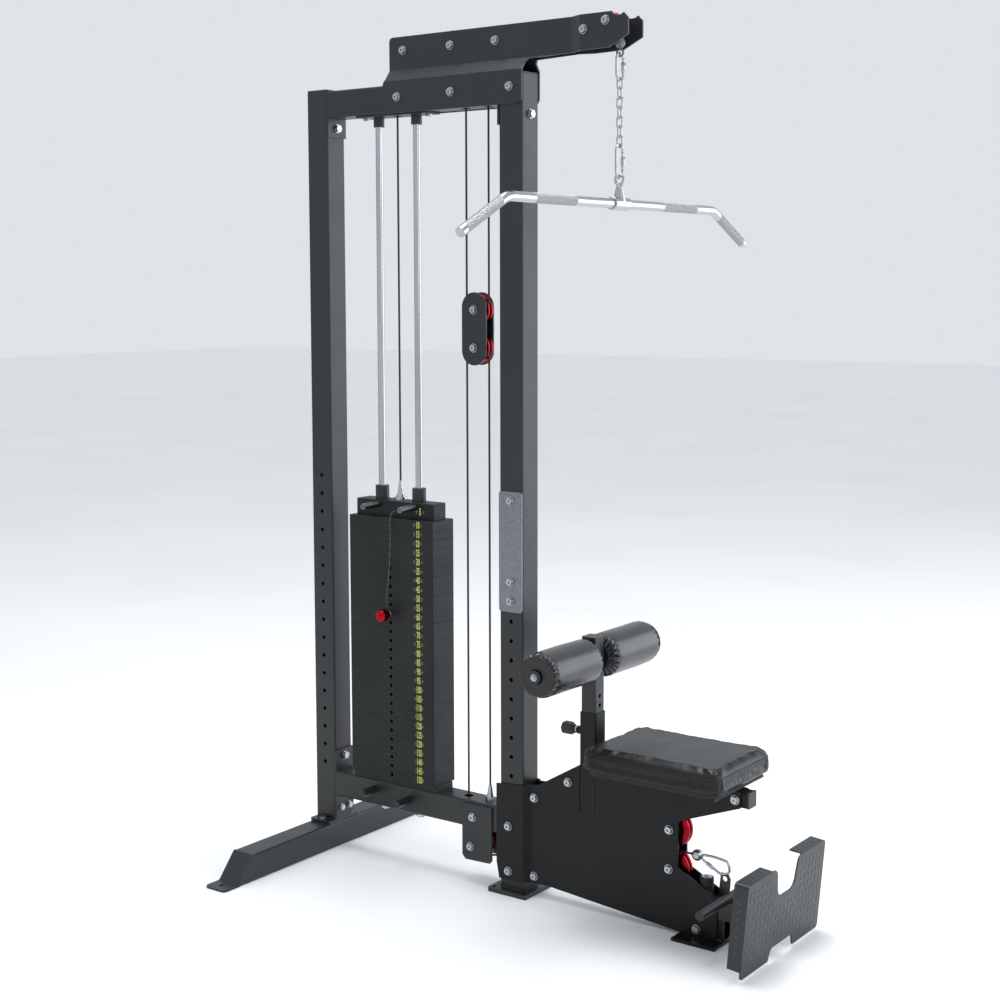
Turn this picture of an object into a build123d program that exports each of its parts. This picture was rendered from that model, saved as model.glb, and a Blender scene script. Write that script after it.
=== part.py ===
"""Lat pulldown and low row machine with a weight stack.

Frame: +X across the machine, +Y from the seat towards the weight stack, +Z up.
The origin is on the floor, in the middle of the footprint. All lengths are in millimetres.
Stations along the machine are given as distances from the front face of the front upright.
"""
from build123d import *
import math
import os

os.makedirs("parts", exist_ok=True)

# ---------------------------------------------------------------- driving dimensions
FRONT_FACE_Y = 5.65       # front face of the front upright
TUBE = 75.0               # square main tube
HALF_TUBE = TUBE / 2
WALL = 3.0
CORNER = 6.0
REAR_FACE = 671.0         # station of the rear upright's front face
UPRIGHT_TOP = 2190.0      # top of the upright tubes, without their caps
PLATE = 5.0               # side plate thickness
SLIDE_GAP = 0.4           # gap between pieces that slide past each other

M12 = 12.0                # bolt diameters
M10 = 10.0
BOLT_PLAY = 0.5           # how much wider a bolt hole is than its bolt

PULLEY_R = 43.5
TOP_PULLEY_R = 39.5       # the top pulleys stay below the edge of their side plates
PITCH_R = 37.0            # radius of the cable's centre line on a small pulley
PULLEY_WIDTH = 24.0
ROW_PULLEY_R = 50.0
ROW_PITCH_R = 44.0
BEARING_R = 16.0
CABLE_R = 2.9

PULLEY_Z = 2282.0
STACK_MID = 445.0
STACK_PULLEY = STACK_MID - PITCH_R
REAR_PULLEY = 246.0
FRONT_PULLEY = 98.0
CARRY_PULLEY = -187.0
TIP_ROLLER = -252.0
TIP_ROLLER_Z = 2299.0
TIP_ROLLER_R = 21.5
TIP_PITCH_R = 20.0
CABLE_REAR = REAR_PULLEY - PITCH_R
CABLE_FRONT = FRONT_PULLEY + PITCH_R
BLOCK_MID = (CABLE_REAR + CABLE_FRONT) / 2
CABLE_DROP = TIP_ROLLER - TIP_PITCH_R
BLOCK_PULLEY_Z = (1580.0, 1478.0)

PLATE_PITCH = 25.8
PLATE_THICK = 25.4
PLATE_COUNT = 29
PINNED_PLATE = 11
STACK_BOTTOM = 250.0
STACK_LENGTH = 300.0
STACK_WIDTH = 100.0
ROD_SPACING = 133.0
ROD_R = 10.0
STACK_TOP = STACK_BOTTOM + PLATE_COUNT * PLATE_PITCH
HEAD_HEIGHT = 46.0
STEM_R = 12.5

LOWER_BEAM_Z = (157.0, 232.0)
TOP_BEAM_Z = (2115.0, 2190.0)
SIDE_HOLE_PITCH = 53.0
LOW_PULLEY = (BLOCK_MID, 105.0)
ROW_PULLEYS = ((-445.0, 268.0), (-445.0, 165.0))
ROW_EXIT_Z = ROW_PULLEYS[1][1] + ROW_PITCH_R

SEAT_GAP = 20.0           # half the clear gap between the seat's side plates
RAIL_Z = (360.0, 400.0)
SEAT_TOP = 472.0
SEAT_BOTTOM = 418.0
POST_MID = -198.0
POST = 44.0
SLEEVE = 50.0
SLEEVE_Z = (262.0, 533.0)
POP_PIN_Z = 477.0
ROLLER_Z = 675.0
ROLLER_R = 60.0
ROLLER_X = (28.0, 258.0)

FOOT_TILT = 5.0           # degrees, top towards the user
FOOT_FACE = (-746.0, 8.0)
FOOT_HALF_WIDTH = 210.0


# ---------------------------------------------------------------- helpers
def aft(distance):
    """Row-frame y of a station measured from the front upright's front face."""
    return FRONT_FACE_Y + distance


def save(piece, label):
    piece.part.label = label
    export_step(piece.part, f"parts/{label}.step")


def side_points(*stations):
    """(station, height) pairs as points of a sketch on Plane.YZ."""
    return [(aft(y), z) for y, z in stations]


def block(x, y, z, mode=Mode.ADD):
    """A box between pairs of limits; y in stations."""
    with Locations(((x[0] + x[1]) / 2, aft((y[0] + y[1]) / 2), (z[0] + z[1]) / 2)):
        Box(x[1] - x[0], y[1] - y[0], z[1] - z[0], mode=mode)


def bar_x(y, z, r, x, mode=Mode.ADD):
    """A round bar or hole along X at station y and height z."""
    with BuildSketch(Plane.YZ.offset(x[0])) as disc:
        with Locations((aft(y), z)):
            Circle(r)
    extrude(disc.sketch, amount=x[1] - x[0], mode=mode)


def bar_y(x, z, r, y, mode=Mode.ADD):
    """A round bar or hole along Y; y in stations."""
    with BuildSketch(Plane.XZ.offset(-aft(y[1]))) as disc:
        with Locations((x, z)):
            Circle(r)
    extrude(disc.sketch, amount=y[1] - y[0], mode=mode)


def bar_z(x, y, r, z, mode=Mode.ADD):
    """A round bar or hole along Z at station y."""
    with BuildSketch(Plane.XY.offset(z[0])) as disc:
        with Locations((x, aft(y))):
            Circle(r)
    extrude(disc.sketch, amount=z[1] - z[0], mode=mode)


def bolt_holes(positions, diameter, reach=60.0):
    """Clearance holes along X through the piece being built."""
    for y, z in positions:
        bar_x(y, z, (diameter + BOLT_PLAY) / 2, (-reach, reach), Mode.SUBTRACT)


def hex_x(y, z, radius, x, mode=Mode.ADD):
    """A hexagonal prism along X: a nut, or the socket of a bolt head."""
    with BuildSketch(Plane.YZ.offset(x[0])) as hexagon:
        with Locations((aft(y), z)):
            RegularPolygon(radius, 6)
    extrude(hexagon.sketch, amount=x[1] - x[0], mode=mode)


def cross_bolt(y, z, near, far, diameter=M12):
    """A bolt along X: button head on the -X side, washers and a nut on the +X side."""
    washer = 2.0
    seat = -near - washer
    head = diameter * 0.55
    bar_x(y, z, diameter / 2, (-near - 1, far + 1))
    bar_x(y, z, diameter, (seat, -near))
    bar_x(y, z, diameter, (far, far + washer))
    with BuildSketch(Plane.YZ.offset(seat)) as disc:
        with Locations((aft(y), z)):
            Circle(diameter * 0.9)
    extrude(disc.sketch, amount=-head, taper=18)
    hex_x(y, z, diameter * 0.32, (seat - head, seat - head * 0.4), Mode.SUBTRACT)
    hex_x(y, z, diameter * 0.92, (far + washer, far + washer + diameter * 0.8))


def long_bolt(x, z, y, diameter):
    """A bolt along Y between two stations: hex head at the front, nut at the back."""
    head = diameter * 0.6
    bar_y(x, z, diameter / 2, (y[0] - 1, y[1] + 1))
    bar_y(x, z, diameter, (y[0] - 2, y[0]))
    bar_y(x, z, diameter, (y[1], y[1] + 2))
    for start in (y[0] - 2, y[1] + 2 + head):
        with BuildSketch(Plane.XZ.offset(-aft(start))) as hexagon:
            with Locations((x, z)):
                RegularPolygon(diameter * 0.92, 6)
        extrude(hexagon.sketch, amount=head)


def ring_x(y, z, outer, inner, x):
    """A spacer or bearing ring round an axle along X."""
    with BuildSketch(Plane.YZ.offset(x[0])) as ring:
        with Locations((aft(y), z)):
            Circle(outer)
            Circle(inner, mode=Mode.SUBTRACT)
    extrude(ring.sketch, amount=x[1] - x[0])


def spacers(y, z, gap, diameter=M12):
    """The two tubes that centre a pulley's bearing between its side plates."""
    half = PULLEY_WIDTH / 2 - 1.0
    inner = diameter / 2 + 0.05
    if gap - half > 0.5:
        ring_x(y, z, diameter * 0.8, inner, (half, gap))
        ring_x(y, z, diameter * 0.8, inner, (-gap, -half))


def pulley(y, z, outer, pitch, width=PULLEY_WIDTH, bore=BEARING_R + 0.05, recessed=True):
    """A grooved wheel turning about X on its bearing, usually with a thin web."""
    half = width / 2
    groove = CABLE_R + 0.3
    lip = (groove + 2.5, outer)
    rim = [(half, outer - 1), (half - 2, outer), lip, (groove, pitch), (groove * 0.7, pitch - groove * 0.8)]
    if recessed:
        hub = bore + 4.0
        inner_rim = pitch - CABLE_R - 5.0
        web = half - 5.0
        side = [(half, bore), (half, hub), (web, hub + 1), (web, inner_rim - 1), (half, inner_rim)]
    else:
        side = [(half, bore)]
    right = side + rim
    left = [(-x, r) for x, r in reversed(right)]
    with BuildSketch(Plane.XY) as section:
        with BuildLine():
            Polyline(*right, (0, pitch - groove), *left, close=True)
        make_face()
    revolve(section.sketch.moved(Location((0, aft(y), z))), axis=Axis((0, aft(y), z), (1, 0, 0)))


# ---------------------------------------------------------------- main frame
TOP_BEAM_BOLTS = ((412.0, 2156.0), (229.0, 2157.0))
TOP_FRONT_BOLT = (HALF_TUBE, 2158.0)
UPRIGHT_SIDE_BOLTS = ((44.0, 187.0), (44.0, 62.0))
ACCESSORY_BOLTS = ((HALF_TUBE, 1076.0), (HALF_TUBE, 858.0), (HALF_TUBE, 806.0))
TOP_FLANGE_BOLTS = ((0.0, 2088.0, M12),)
LOW_FLANGE_BOLTS = ((-17.0, 118.0, M10), (17.0, 118.0, M10), (0.0, 272.0, M12))
ROW_SLOT_Z = (72.0, 140.0)
FRONT_HOLES = tuple(326.0 + SIDE_HOLE_PITCH * i for i in range(9))
REAR_HOLES = tuple(254.0 + SIDE_HOLE_PITCH * i for i in range(17))


def upright(station, foot_z, hole_heights, base, base_thickness, base_bolts):
    """A square tube with side holes and through holes for the beams, on a welded base plate."""
    with BuildPart() as post:
        with BuildSketch(Plane.XY.offset(foot_z + base_thickness)):
            with Locations((0, aft(station + HALF_TUBE))):
                RectangleRounded(TUBE, TUBE, CORNER)
                RectangleRounded(TUBE - 2 * WALL, TUBE - 2 * WALL, CORNER - WALL, mode=Mode.SUBTRACT)
        extrude(amount=UPRIGHT_TOP - foot_z - base_thickness)
        with BuildSketch(Plane.XY.offset(foot_z)):
            with Locations((0, aft(station + HALF_TUBE))):
                RectangleRounded(base[0], base[1], 4)
                with Locations(*base_bolts):
                    Circle(6.5, mode=Mode.SUBTRACT)
        extrude(amount=base_thickness)
        for z in hole_heights:
            bar_x(station + HALF_TUBE, z, 6.0, (-50, 50), Mode.SUBTRACT)
        for x, z, size in (*TOP_FLANGE_BOLTS, *LOW_FLANGE_BOLTS):
            bar_y(x, z, (size + BOLT_PLAY) / 2, (station - 5, station + TUBE + 5), Mode.SUBTRACT)
    return post


with BuildPart() as rear_upright:
    add(upright(REAR_FACE, TUBE, REAR_HOLES, (130.0, TUBE), 9.0, ((-52, 0), (52, 0))).part)
save(rear_upright, "rear_upright")

with BuildPart() as front_upright:
    corners = ((-50, -50), (50, -50), (-50, 50), (50, 50))
    add(upright(0.0, 0.0, FRONT_HOLES, (125.0, 125.0), 12.0, corners).part)
    bolt_holes((TOP_FRONT_BOLT, *UPRIGHT_SIDE_BOLTS, *ACCESSORY_BOLTS), M12)
    block((-8, 8), (-5, TUBE + 5), ROW_SLOT_Z, Mode.SUBTRACT)
save(front_upright, "front_upright")

CAP = 5.0
with BuildPart() as tube_end_caps:
    for station in (0.0, REAR_FACE):
        with BuildSketch(Plane.XY.offset(UPRIGHT_TOP)):
            with Locations((0, aft(station + HALF_TUBE))):
                RectangleRounded(TUBE, TUBE, CORNER)
        extrude(amount=CAP, taper=8)
        with BuildSketch(Plane.XY.offset(UPRIGHT_TOP - 14)):
            with Locations((0, aft(station + HALF_TUBE))):
                RectangleRounded(TUBE - 2 * WALL, TUBE - 2 * WALL, CORNER - WALL)
                RectangleRounded(TUBE - 14, TUBE - 14, 2, mode=Mode.SUBTRACT)
        extrude(amount=14)
    block((-SEAT_GAP, SEAT_GAP), (-666, -662), RAIL_Z)
    for x in (-170.0, 166.0):
        bar_x(-614, 124, 12.0, (x, x + 4))
save(tube_end_caps, "tube_end_caps")

FLANGE = 5.0


def beam(heights, flange_heights, cable_stations, flange_bolts):
    """A square tube along Y between the uprights, with a bolting flange welded on each end."""
    near, far = TUBE + FLANGE, REAR_FACE - FLANGE
    middle = (heights[0] + heights[1]) / 2
    with BuildPart() as tube:
        with BuildSketch(Plane.XZ.offset(-aft(far))):
            with Locations((0, middle)):
                RectangleRounded(TUBE, TUBE, CORNER)
                RectangleRounded(TUBE - 2 * WALL, TUBE - 2 * WALL, CORNER - WALL, mode=Mode.SUBTRACT)
        extrude(amount=far - near)
        block((-HALF_TUBE, HALF_TUBE), (TUBE, near), flange_heights)
        block((-HALF_TUBE, HALF_TUBE), (far, REAR_FACE), flange_heights)
        for x, z, size in flange_bolts:
            for start in (TUBE - 1, far - 1):
                bar_y(x, z, (size + BOLT_PLAY) / 2, (start, start + FLANGE + 2), Mode.SUBTRACT)
        for y in cable_stations:
            bar_z(0, y, 13.0, (heights[0] - 1, heights[1] + 1), Mode.SUBTRACT)
    return tube


ROD_STATIONS = (STACK_MID - ROD_SPACING / 2, STACK_MID + ROD_SPACING / 2)
BRACKET_BOLTS = (STACK_MID - 110.0, STACK_MID + 110.0)
GUSSET_BOLT = (165.0, 189.0)
PEG_STATIONS = ((395.0, 194.0), (520.0, 203.0))

with BuildPart() as top_beam:
    add(beam(TOP_BEAM_Z, (2062.0, TOP_BEAM_Z[1]), (CABLE_FRONT, CABLE_REAR, STACK_MID), TOP_FLANGE_BOLTS).part)
    bolt_holes(TOP_BEAM_BOLTS, M12)
    for y in BRACKET_BOLTS:
        bar_z(0, y, 5.25, (TOP_BEAM_Z[0] - 1, TOP_BEAM_Z[0] + WALL + 1), Mode.SUBTRACT)
save(top_beam, "top_beam")

with BuildPart() as lower_beam:
    add(beam(LOWER_BEAM_Z, (98.0, 292.0), (CABLE_REAR,), LOW_FLANGE_BOLTS).part)
    bolt_holes((GUSSET_BOLT,), M12)
    for y in ROD_STATIONS:
        bar_z(0, y, ROD_R + 0.3, (LOWER_BEAM_Z[0] - 1, LOWER_BEAM_Z[1] + 1), Mode.SUBTRACT)
    bar_z(0, CABLE_FRONT, 6.3, (LOWER_BEAM_Z[1] - WALL - 1, LOWER_BEAM_Z[1] + 1), Mode.SUBTRACT)
    for y, z in PEG_STATIONS:
        bar_x(y, z, 5.25, (-HALF_TUBE - 1, -HALF_TUBE + WALL + 1), Mode.SUBTRACT)
save(lower_beam, "lower_beam")

with BuildPart() as lower_band_pegs:
    for y, z in PEG_STATIONS:
        bar_x(y, z, 11.0, (-95, -HALF_TUBE))
        bar_x(y, z, 5.0, (-HALF_TUBE, -HALF_TUBE + WALL + 8))
    fillet(lower_band_pegs.faces().filter_by(Axis.X).group_by(Axis.X)[0].edges(), 3)
save(lower_band_pegs, "lower_band_pegs")

STABILIZER_HALF = 377.0
FOOT_TIP = 497.0
FOOT_PLATE_T = 6.0
ANCHOR_X = 470.0
with BuildPart() as rear_stabilizer:
    with BuildSketch(Plane.YZ.offset(-STABILIZER_HALF - 60)):
        with Locations((aft(REAR_FACE + HALF_TUBE), HALF_TUBE)):
            RectangleRounded(TUBE, TUBE, CORNER)
            RectangleRounded(TUBE - 2 * WALL, TUBE - 2 * WALL, CORNER - WALL, mode=Mode.SUBTRACT)
    extrude(amount=2 * STABILIZER_HALF + 120)
    for side in (-1, 1):
        with BuildSketch(Plane.XZ.offset(-aft(REAR_FACE + TUBE))):
            with BuildLine():
                Polyline(
                    (side * (STABILIZER_HALF + 7), TUBE - 1), (side * 442, FOOT_PLATE_T), (side * 442, -1),
                    (side * 460, -1), (side * 460, TUBE + 1), (side * STABILIZER_HALF, TUBE + 1), close=True,
                )
            make_face()
        extrude(amount=TUBE, mode=Mode.SUBTRACT)
        with BuildSketch(Plane.XZ.offset(-aft(REAR_FACE + TUBE))):
            with BuildLine():
                Polyline(
                    (side * STABILIZER_HALF, TUBE), (side * (STABILIZER_HALF + 7), TUBE - 1),
                    (side * 442, FOOT_PLATE_T), (side * FOOT_TIP, FOOT_PLATE_T), (side * FOOT_TIP, 0),
                    (side * 437, 0), (side * STABILIZER_HALF, TUBE - 7), close=True,
                )
            make_face()
        extrude(amount=TUBE)
        bar_z(side * ANCHOR_X, REAR_FACE + HALF_TUBE, 7.0, (-1, FOOT_PLATE_T + 1), Mode.SUBTRACT)
    for side in (-1, 1):
        bar_z(side * 52, REAR_FACE + HALF_TUBE, 6.5, (TUBE - WALL - 1, TUBE + 1), Mode.SUBTRACT)
    fillet(rear_stabilizer.edges().filter_by(Axis.Z).group_by(Axis.X)[0], 12)
    fillet(rear_stabilizer.edges().filter_by(Axis.Z).group_by(Axis.X)[-1], 12)
save(rear_stabilizer, "rear_stabilizer")

# ---------------------------------------------------------------- top side plates
ARM_TOP = 2319.0
ARM_BOTTOM = 2230.0
ARM_INNER = 15.0
TIP_INNER = 32.0
TOP_PULLEYS = (
    (STACK_PULLEY, PULLEY_Z, ARM_INNER), (REAR_PULLEY, PULLEY_Z, ARM_INNER),
    (FRONT_PULLEY, PULLEY_Z, ARM_INNER), (CARRY_PULLEY, PULLEY_Z, TIP_INNER),
    (TIP_ROLLER, TIP_ROLLER_Z, TIP_INNER),
)
with BuildPart() as right_top_plate:
    with BuildSketch(Plane.XZ.offset(-aft(463))):
        with BuildLine():
            Polyline(
                (HALF_TUBE, 2113), (HALF_TUBE + PLATE, 2113), (HALF_TUBE + PLATE, 2200),
                (ARM_INNER + PLATE, 2230), (ARM_INNER + PLATE, ARM_TOP), (ARM_INNER, ARM_TOP),
                (ARM_INNER, 2228), (HALF_TUBE, 2198), close=True,
            )
        make_face()
    extrude(amount=463 + 140)
    with BuildSketch(Plane.XY.offset(ARM_BOTTOM)):
        with BuildLine():
            Polyline(
                (ARM_INNER, aft(-140)), (ARM_INNER + PLATE, aft(-140)), (TIP_INNER + PLATE, aft(-175)),
                (TIP_INNER + PLATE, aft(-317)), (TIP_INNER, aft(-317)), (TIP_INNER, aft(-176)), close=True,
            )
        make_face()
    extrude(amount=ARM_TOP - ARM_BOTTOM)
    with BuildSketch(Plane.YZ.offset(0)) as outline:
        with BuildLine():
            Polyline(*side_points(
                (463, 2100), (463, 2190), (456, 2205), (456, ARM_TOP - 10), (453, ARM_TOP - 3),
                (446, ARM_TOP), (446, 2330), (-265, 2330), (-269, ARM_TOP),
                (-274, 2310), (-283, 2307), (-296, 2308), (-304, 2313), (-309, 2307), (-317, 2300),
                (-317, 2259), (-261, 2232), (-140, 2230), (-8, 2226), (-1, 2218), (-1, 2100),
            ), close=True)
        make_face()
    extrude(amount=60, mode=Mode.INTERSECT)
    bolt_holes([(y, z) for y, z, gap in TOP_PULLEYS] + [*TOP_BEAM_BOLTS, TOP_FRONT_BOLT], M12)
    corners = right_top_plate.edges().filter_by(Axis.X)
    fillet(corners.group_by(Axis.Z)[0], 18)
    fillet(right_top_plate.edges().filter_by(Axis.X).group_by(Axis.Y)[-1].sort_by(Axis.Z)[-1], 0.5)
with BuildPart() as top_side_plates:
    add(right_top_plate.part)
    add(mirror(right_top_plate.part, about=Plane.YZ, mode=Mode.PRIVATE))
save(top_side_plates, "top_side_plates")

# ---------------------------------------------------------------- seat side plates
SEAT_BOLTS = ((-29.5, 275.0), (-29.5, 58.0), (-138.0, 337.0), (-526.0, 25.0))
RAIL_BOLT = (-631.0, 380.0)
FOOT_TUBE_Z = (62.0, 112.0)
with BuildPart() as right_seat_plate:
    with BuildSketch(Plane.XY.offset(0)):
        with BuildLine():
            Polyline(
                (HALF_TUBE, aft(84)), (HALF_TUBE + PLATE, aft(84)), (HALF_TUBE + PLATE, aft(-3)),
                (SEAT_GAP + PLATE, aft(-16.5)), (SEAT_GAP + PLATE, aft(-645)), (SEAT_GAP, aft(-645)),
                (SEAT_GAP, aft(-14)), (HALF_TUBE, aft(-0.5)), close=True,
            )
        make_face()
    extrude(amount=420)
    with BuildSketch(Plane.YZ.offset(0)):
        with BuildLine():
            Polyline(*side_points(
                (84, 300), (-38, 310), (-173, 390), (-196, RAIL_Z[1]), (-640, RAIL_Z[1]), (-645, 396),
                (-645, 360), (-506, 308), (-485, 302), (-471, 290), (-471, 176), (-486, 166), (-566, 126),
                (-583, 112), (-583, 20), (-578, 8), (-468, 8), (-240, 26), (-81, 39), (75, 36),
                (84, 82),
            ), close=True)
        make_face()
    extrude(amount=60, mode=Mode.INTERSECT)
    block((0, 60), (POST_MID - SLEEVE / 2, POST_MID + SLEEVE / 2), (SLEEVE_Z[0], 420), Mode.SUBTRACT)
    bolt_holes((*UPRIGHT_SIDE_BOLTS, *SEAT_BOLTS, RAIL_BOLT, *ROW_PULLEYS), M12)
with BuildPart() as seat_side_plates:
    add(right_seat_plate.part)
    add(mirror(right_seat_plate.part, about=Plane.YZ, mode=Mode.PRIVATE))
save(seat_side_plates, "seat_side_plates")

with BuildPart() as gusset_plates:
    for x in (-HALF_TUBE - PLATE, HALF_TUBE):
        with BuildSketch(Plane.YZ.offset(x)):
            with BuildLine():
                Polyline(*side_points(
                    (101, 225), (101, 76), (108, 68), (190, 66), (201, 78), (201, 225),
                ), close=True)
            make_face()
        extrude(amount=PLATE)
    bolt_holes((GUSSET_BOLT, LOW_PULLEY), M12)
save(gusset_plates, "gusset_plates")

FOOT_TOP = 235.0
NOTCH_FLOOR = 158.0
ARCH_TOP = 30.0
TREAD = 4.0
FLANGE_DEPTH = 38.0
EDGE_ROUND = 6.0
foot_plane = Plane(
    origin=(0, aft(FOOT_FACE[0]), FOOT_FACE[1]),
    x_dir=(1, 0, 0),
    z_dir=(0, -math.cos(math.radians(FOOT_TILT)), -math.sin(math.radians(FOOT_TILT))),
)
with BuildPart() as foot_plate:
    with BuildSketch(foot_plane) as face:
        with Locations((0, FOOT_TOP / 2)):
            RectangleRounded(2 * FOOT_HALF_WIDTH, FOOT_TOP, 10)
        with BuildLine():
            Polyline(
                (-70, FOOT_TOP + 8), (-56, FOOT_TOP - 14), (-44, NOTCH_FLOOR), (44, NOTCH_FLOOR),
                (56, FOOT_TOP - 14), (70, FOOT_TOP + 8), close=True,
            )
        make_face(mode=Mode.SUBTRACT)
        with BuildLine():
            Polyline((-68, -1), (-56, ARCH_TOP), (56, ARCH_TOP), (68, -1), close=True)
        make_face(mode=Mode.SUBTRACT)
        fillet(face.vertices().filter_by_position(Axis.Y, NOTCH_FLOOR - 1, NOTCH_FLOOR + 1), 28)
        fillet(face.vertices().filter_by_position(Axis.Y, ARCH_TOP - 1, ARCH_TOP + 1), 14)
        lobe_tops = face.vertices().filter_by_position(Axis.Y, FOOT_TOP - 1, FOOT_TOP + 1)
        fillet(lobe_tops.filter_by_position(Axis.X, -68, 68), 18)
    extrude(amount=-TREAD)
    with BuildSketch(foot_plane):
        with Locations((0, FOOT_TOP / 2)):
            RectangleRounded(2 * FOOT_HALF_WIDTH, FOOT_TOP, 10)
            RectangleRounded(2 * (FOOT_HALF_WIDTH - TREAD), FOOT_TOP - 2 * TREAD, 10 - TREAD, mode=Mode.SUBTRACT)
        with Locations((0, FOOT_TOP)):
            Rectangle(160, 30, mode=Mode.SUBTRACT)
        Rectangle(2 * FOOT_HALF_WIDTH, 40, mode=Mode.SUBTRACT)
    extrude(amount=-FLANGE_DEPTH)
save(foot_plate, "foot_plate")

LUG_X = (6.5, 11.5)
with BuildPart() as foot_stub:
    block((-73, 73), (-603, -480), (0, 8))
    block((-SEAT_GAP, SEAT_GAP), (-600, -490), (8, FOOT_TUBE_Z[0]))
    block((-SEAT_GAP + 5, SEAT_GAP - 5), (-601, -489), (12, FOOT_TUBE_Z[0] - 4), Mode.SUBTRACT)
    for x in (-50, 50):
        bar_z(x, -541, 6.5, (-1, 9), Mode.SUBTRACT)
    bolt_holes(SEAT_BOLTS[3:], M12)
save(foot_stub, "foot_stub")

with BuildPart() as foot_tube:
    block((-SEAT_GAP, SEAT_GAP), (-765, -490), FOOT_TUBE_Z)
    inside = (FOOT_TUBE_Z[0] + 2.5, FOOT_TUBE_Z[1] - 2.5)
    block((-SEAT_GAP + 2.5, SEAT_GAP - 2.5), (-766, -480), inside, Mode.SUBTRACT)
    with BuildSketch(foot_plane.offset(-TREAD)):
        with Locations((0, FOOT_TOP / 2)):
            Rectangle(100, 2 * FOOT_TOP)
    extrude(amount=60, mode=Mode.SUBTRACT)
    with BuildSketch(Plane.YZ.offset(LUG_X[0])):
        with BuildLine():
            outline = side_points((-599, 111.5), (-603, 160), (-596, 174), (-577, 174), (-571, 111.5))
            Polyline(*outline, close=True)
        make_face()
        with Locations((aft(-588), 160)):
            Circle(7, mode=Mode.SUBTRACT)
    extrude(amount=PLATE)
    bar_x(-614, 124.2, 12.0, (-166, 166))
    block((-SEAT_GAP, SEAT_GAP), (-620, -608), (FOOT_TUBE_Z[1] - 1, 116))
save(foot_tube, "foot_tube")

with BuildPart() as row_bumper:
    bar_z(0, -541, 18.0, (FOOT_TUBE_Z[1], 159))
    fillet(row_bumper.faces().sort_by(Axis.Z)[-1].edges(), 3)
save(row_bumper, "row_bumper")

# ---------------------------------------------------------------- seat
CROSS_SUPPORTS = (-300.0, -600.0)
SUPPORT_T = 6.0
with BuildPart() as seat_rail:
    with BuildSketch(Plane.XZ.offset(-aft(-223))):
        with Locations((0, (RAIL_Z[0] + RAIL_Z[1]) / 2)):
            RectangleRounded(2 * SEAT_GAP, 40, 4)
            RectangleRounded(2 * SEAT_GAP - 6, 34, 1.5, mode=Mode.SUBTRACT)
    extrude(amount=662 - 223)
    for y in CROSS_SUPPORTS:
        block((-130, 130), (y - 30, y + 30), (RAIL_Z[1], RAIL_Z[1] + SUPPORT_T))
    bolt_holes((RAIL_BOLT,), M12)
save(seat_rail, "seat_rail")

SEAT_HALF = 147.0
SEAT_Y = (-650.0, -248.0)
SEAT_CORNER = 45.0


def rounded_slab(inset, z):
    """A horizontal slab following the seat's outline."""
    with BuildSketch(Plane.XY.offset(z[0])) as outline:
        with Locations((0, aft(sum(SEAT_Y) / 2))):
            length = SEAT_Y[1] - SEAT_Y[0] - 2 * inset
            RectangleRounded(2 * (SEAT_HALF - inset), length, SEAT_CORNER - inset)
    extrude(outline.sketch, amount=z[1] - z[0])


with BuildPart() as seat_board:
    rounded_slab(12, (RAIL_Z[1] + SUPPORT_T, SEAT_BOTTOM))
save(seat_board, "seat_board")

with BuildPart() as seat_cushion:
    rounded_slab(0, (SEAT_BOTTOM, SEAT_TOP))
    fillet(seat_cushion.faces().sort_by(Axis.Z)[-1].edges(), 16)
    fillet(seat_cushion.faces().sort_by(Axis.Z)[0].edges(), 5)
save(seat_cushion, "seat_cushion")

# ---------------------------------------------------------------- knee pad post
POP_BARREL = (11.0, 7.1)   # outer radius and bore of the pop pin's barrel
POP_STEM_R = 7.05
POST_AXLE_R = 12.5
ROLLER_BORE = POST_AXLE_R + 0.3
with BuildPart() as post_sleeve:
    with BuildSketch(Plane.XY.offset(SLEEVE_Z[0])):
        with Locations((0, aft(POST_MID))):
            RectangleRounded(SLEEVE, SLEEVE, 5)
            RectangleRounded(POST + 2 * SLIDE_GAP, POST + 2 * SLIDE_GAP, 3, mode=Mode.SUBTRACT)
    extrude(amount=SLEEVE_Z[1] - SLEEVE_Z[0])
    bar_y(0, POP_PIN_Z, POP_BARREL[0], (POST_MID + SLEEVE / 2 - 1, -153))
    bar_y(0, POP_PIN_Z, POP_BARREL[1], (POST_MID + POST / 2 - 1, -150), Mode.SUBTRACT)
save(post_sleeve, "post_sleeve")

POST_Z = (400.0, 734.0)
with BuildPart() as knee_post:
    with BuildSketch(Plane.XY.offset(POST_Z[0])):
        with Locations((0, aft(POST_MID))):
            RectangleRounded(POST, POST, 4)
            RectangleRounded(POST - 2 * WALL, POST - 2 * WALL, 1.5, mode=Mode.SUBTRACT)
    extrude(amount=POST_Z[1] - POST_Z[0] - 4)
    with BuildSketch(Plane.XY.offset(POST_Z[1] - 4)):
        with Locations((0, aft(POST_MID))):
            RectangleRounded(POST, POST, 4)
    extrude(amount=4)
    for i in range(7):
        bar_y(0, 427 + 25 * i, 5.5, (POST_MID - POST / 2 - 1, POST_MID + POST / 2 + 1), Mode.SUBTRACT)
    bar_x(POST_MID, ROLLER_Z, POST_AXLE_R, (-265, 265))
    for side in (-265, 265):
        bar_x(POST_MID, ROLLER_Z, 17.0, (min(side, side * 1.025), max(side, side * 1.025)))
save(knee_post, "knee_post")

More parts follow.
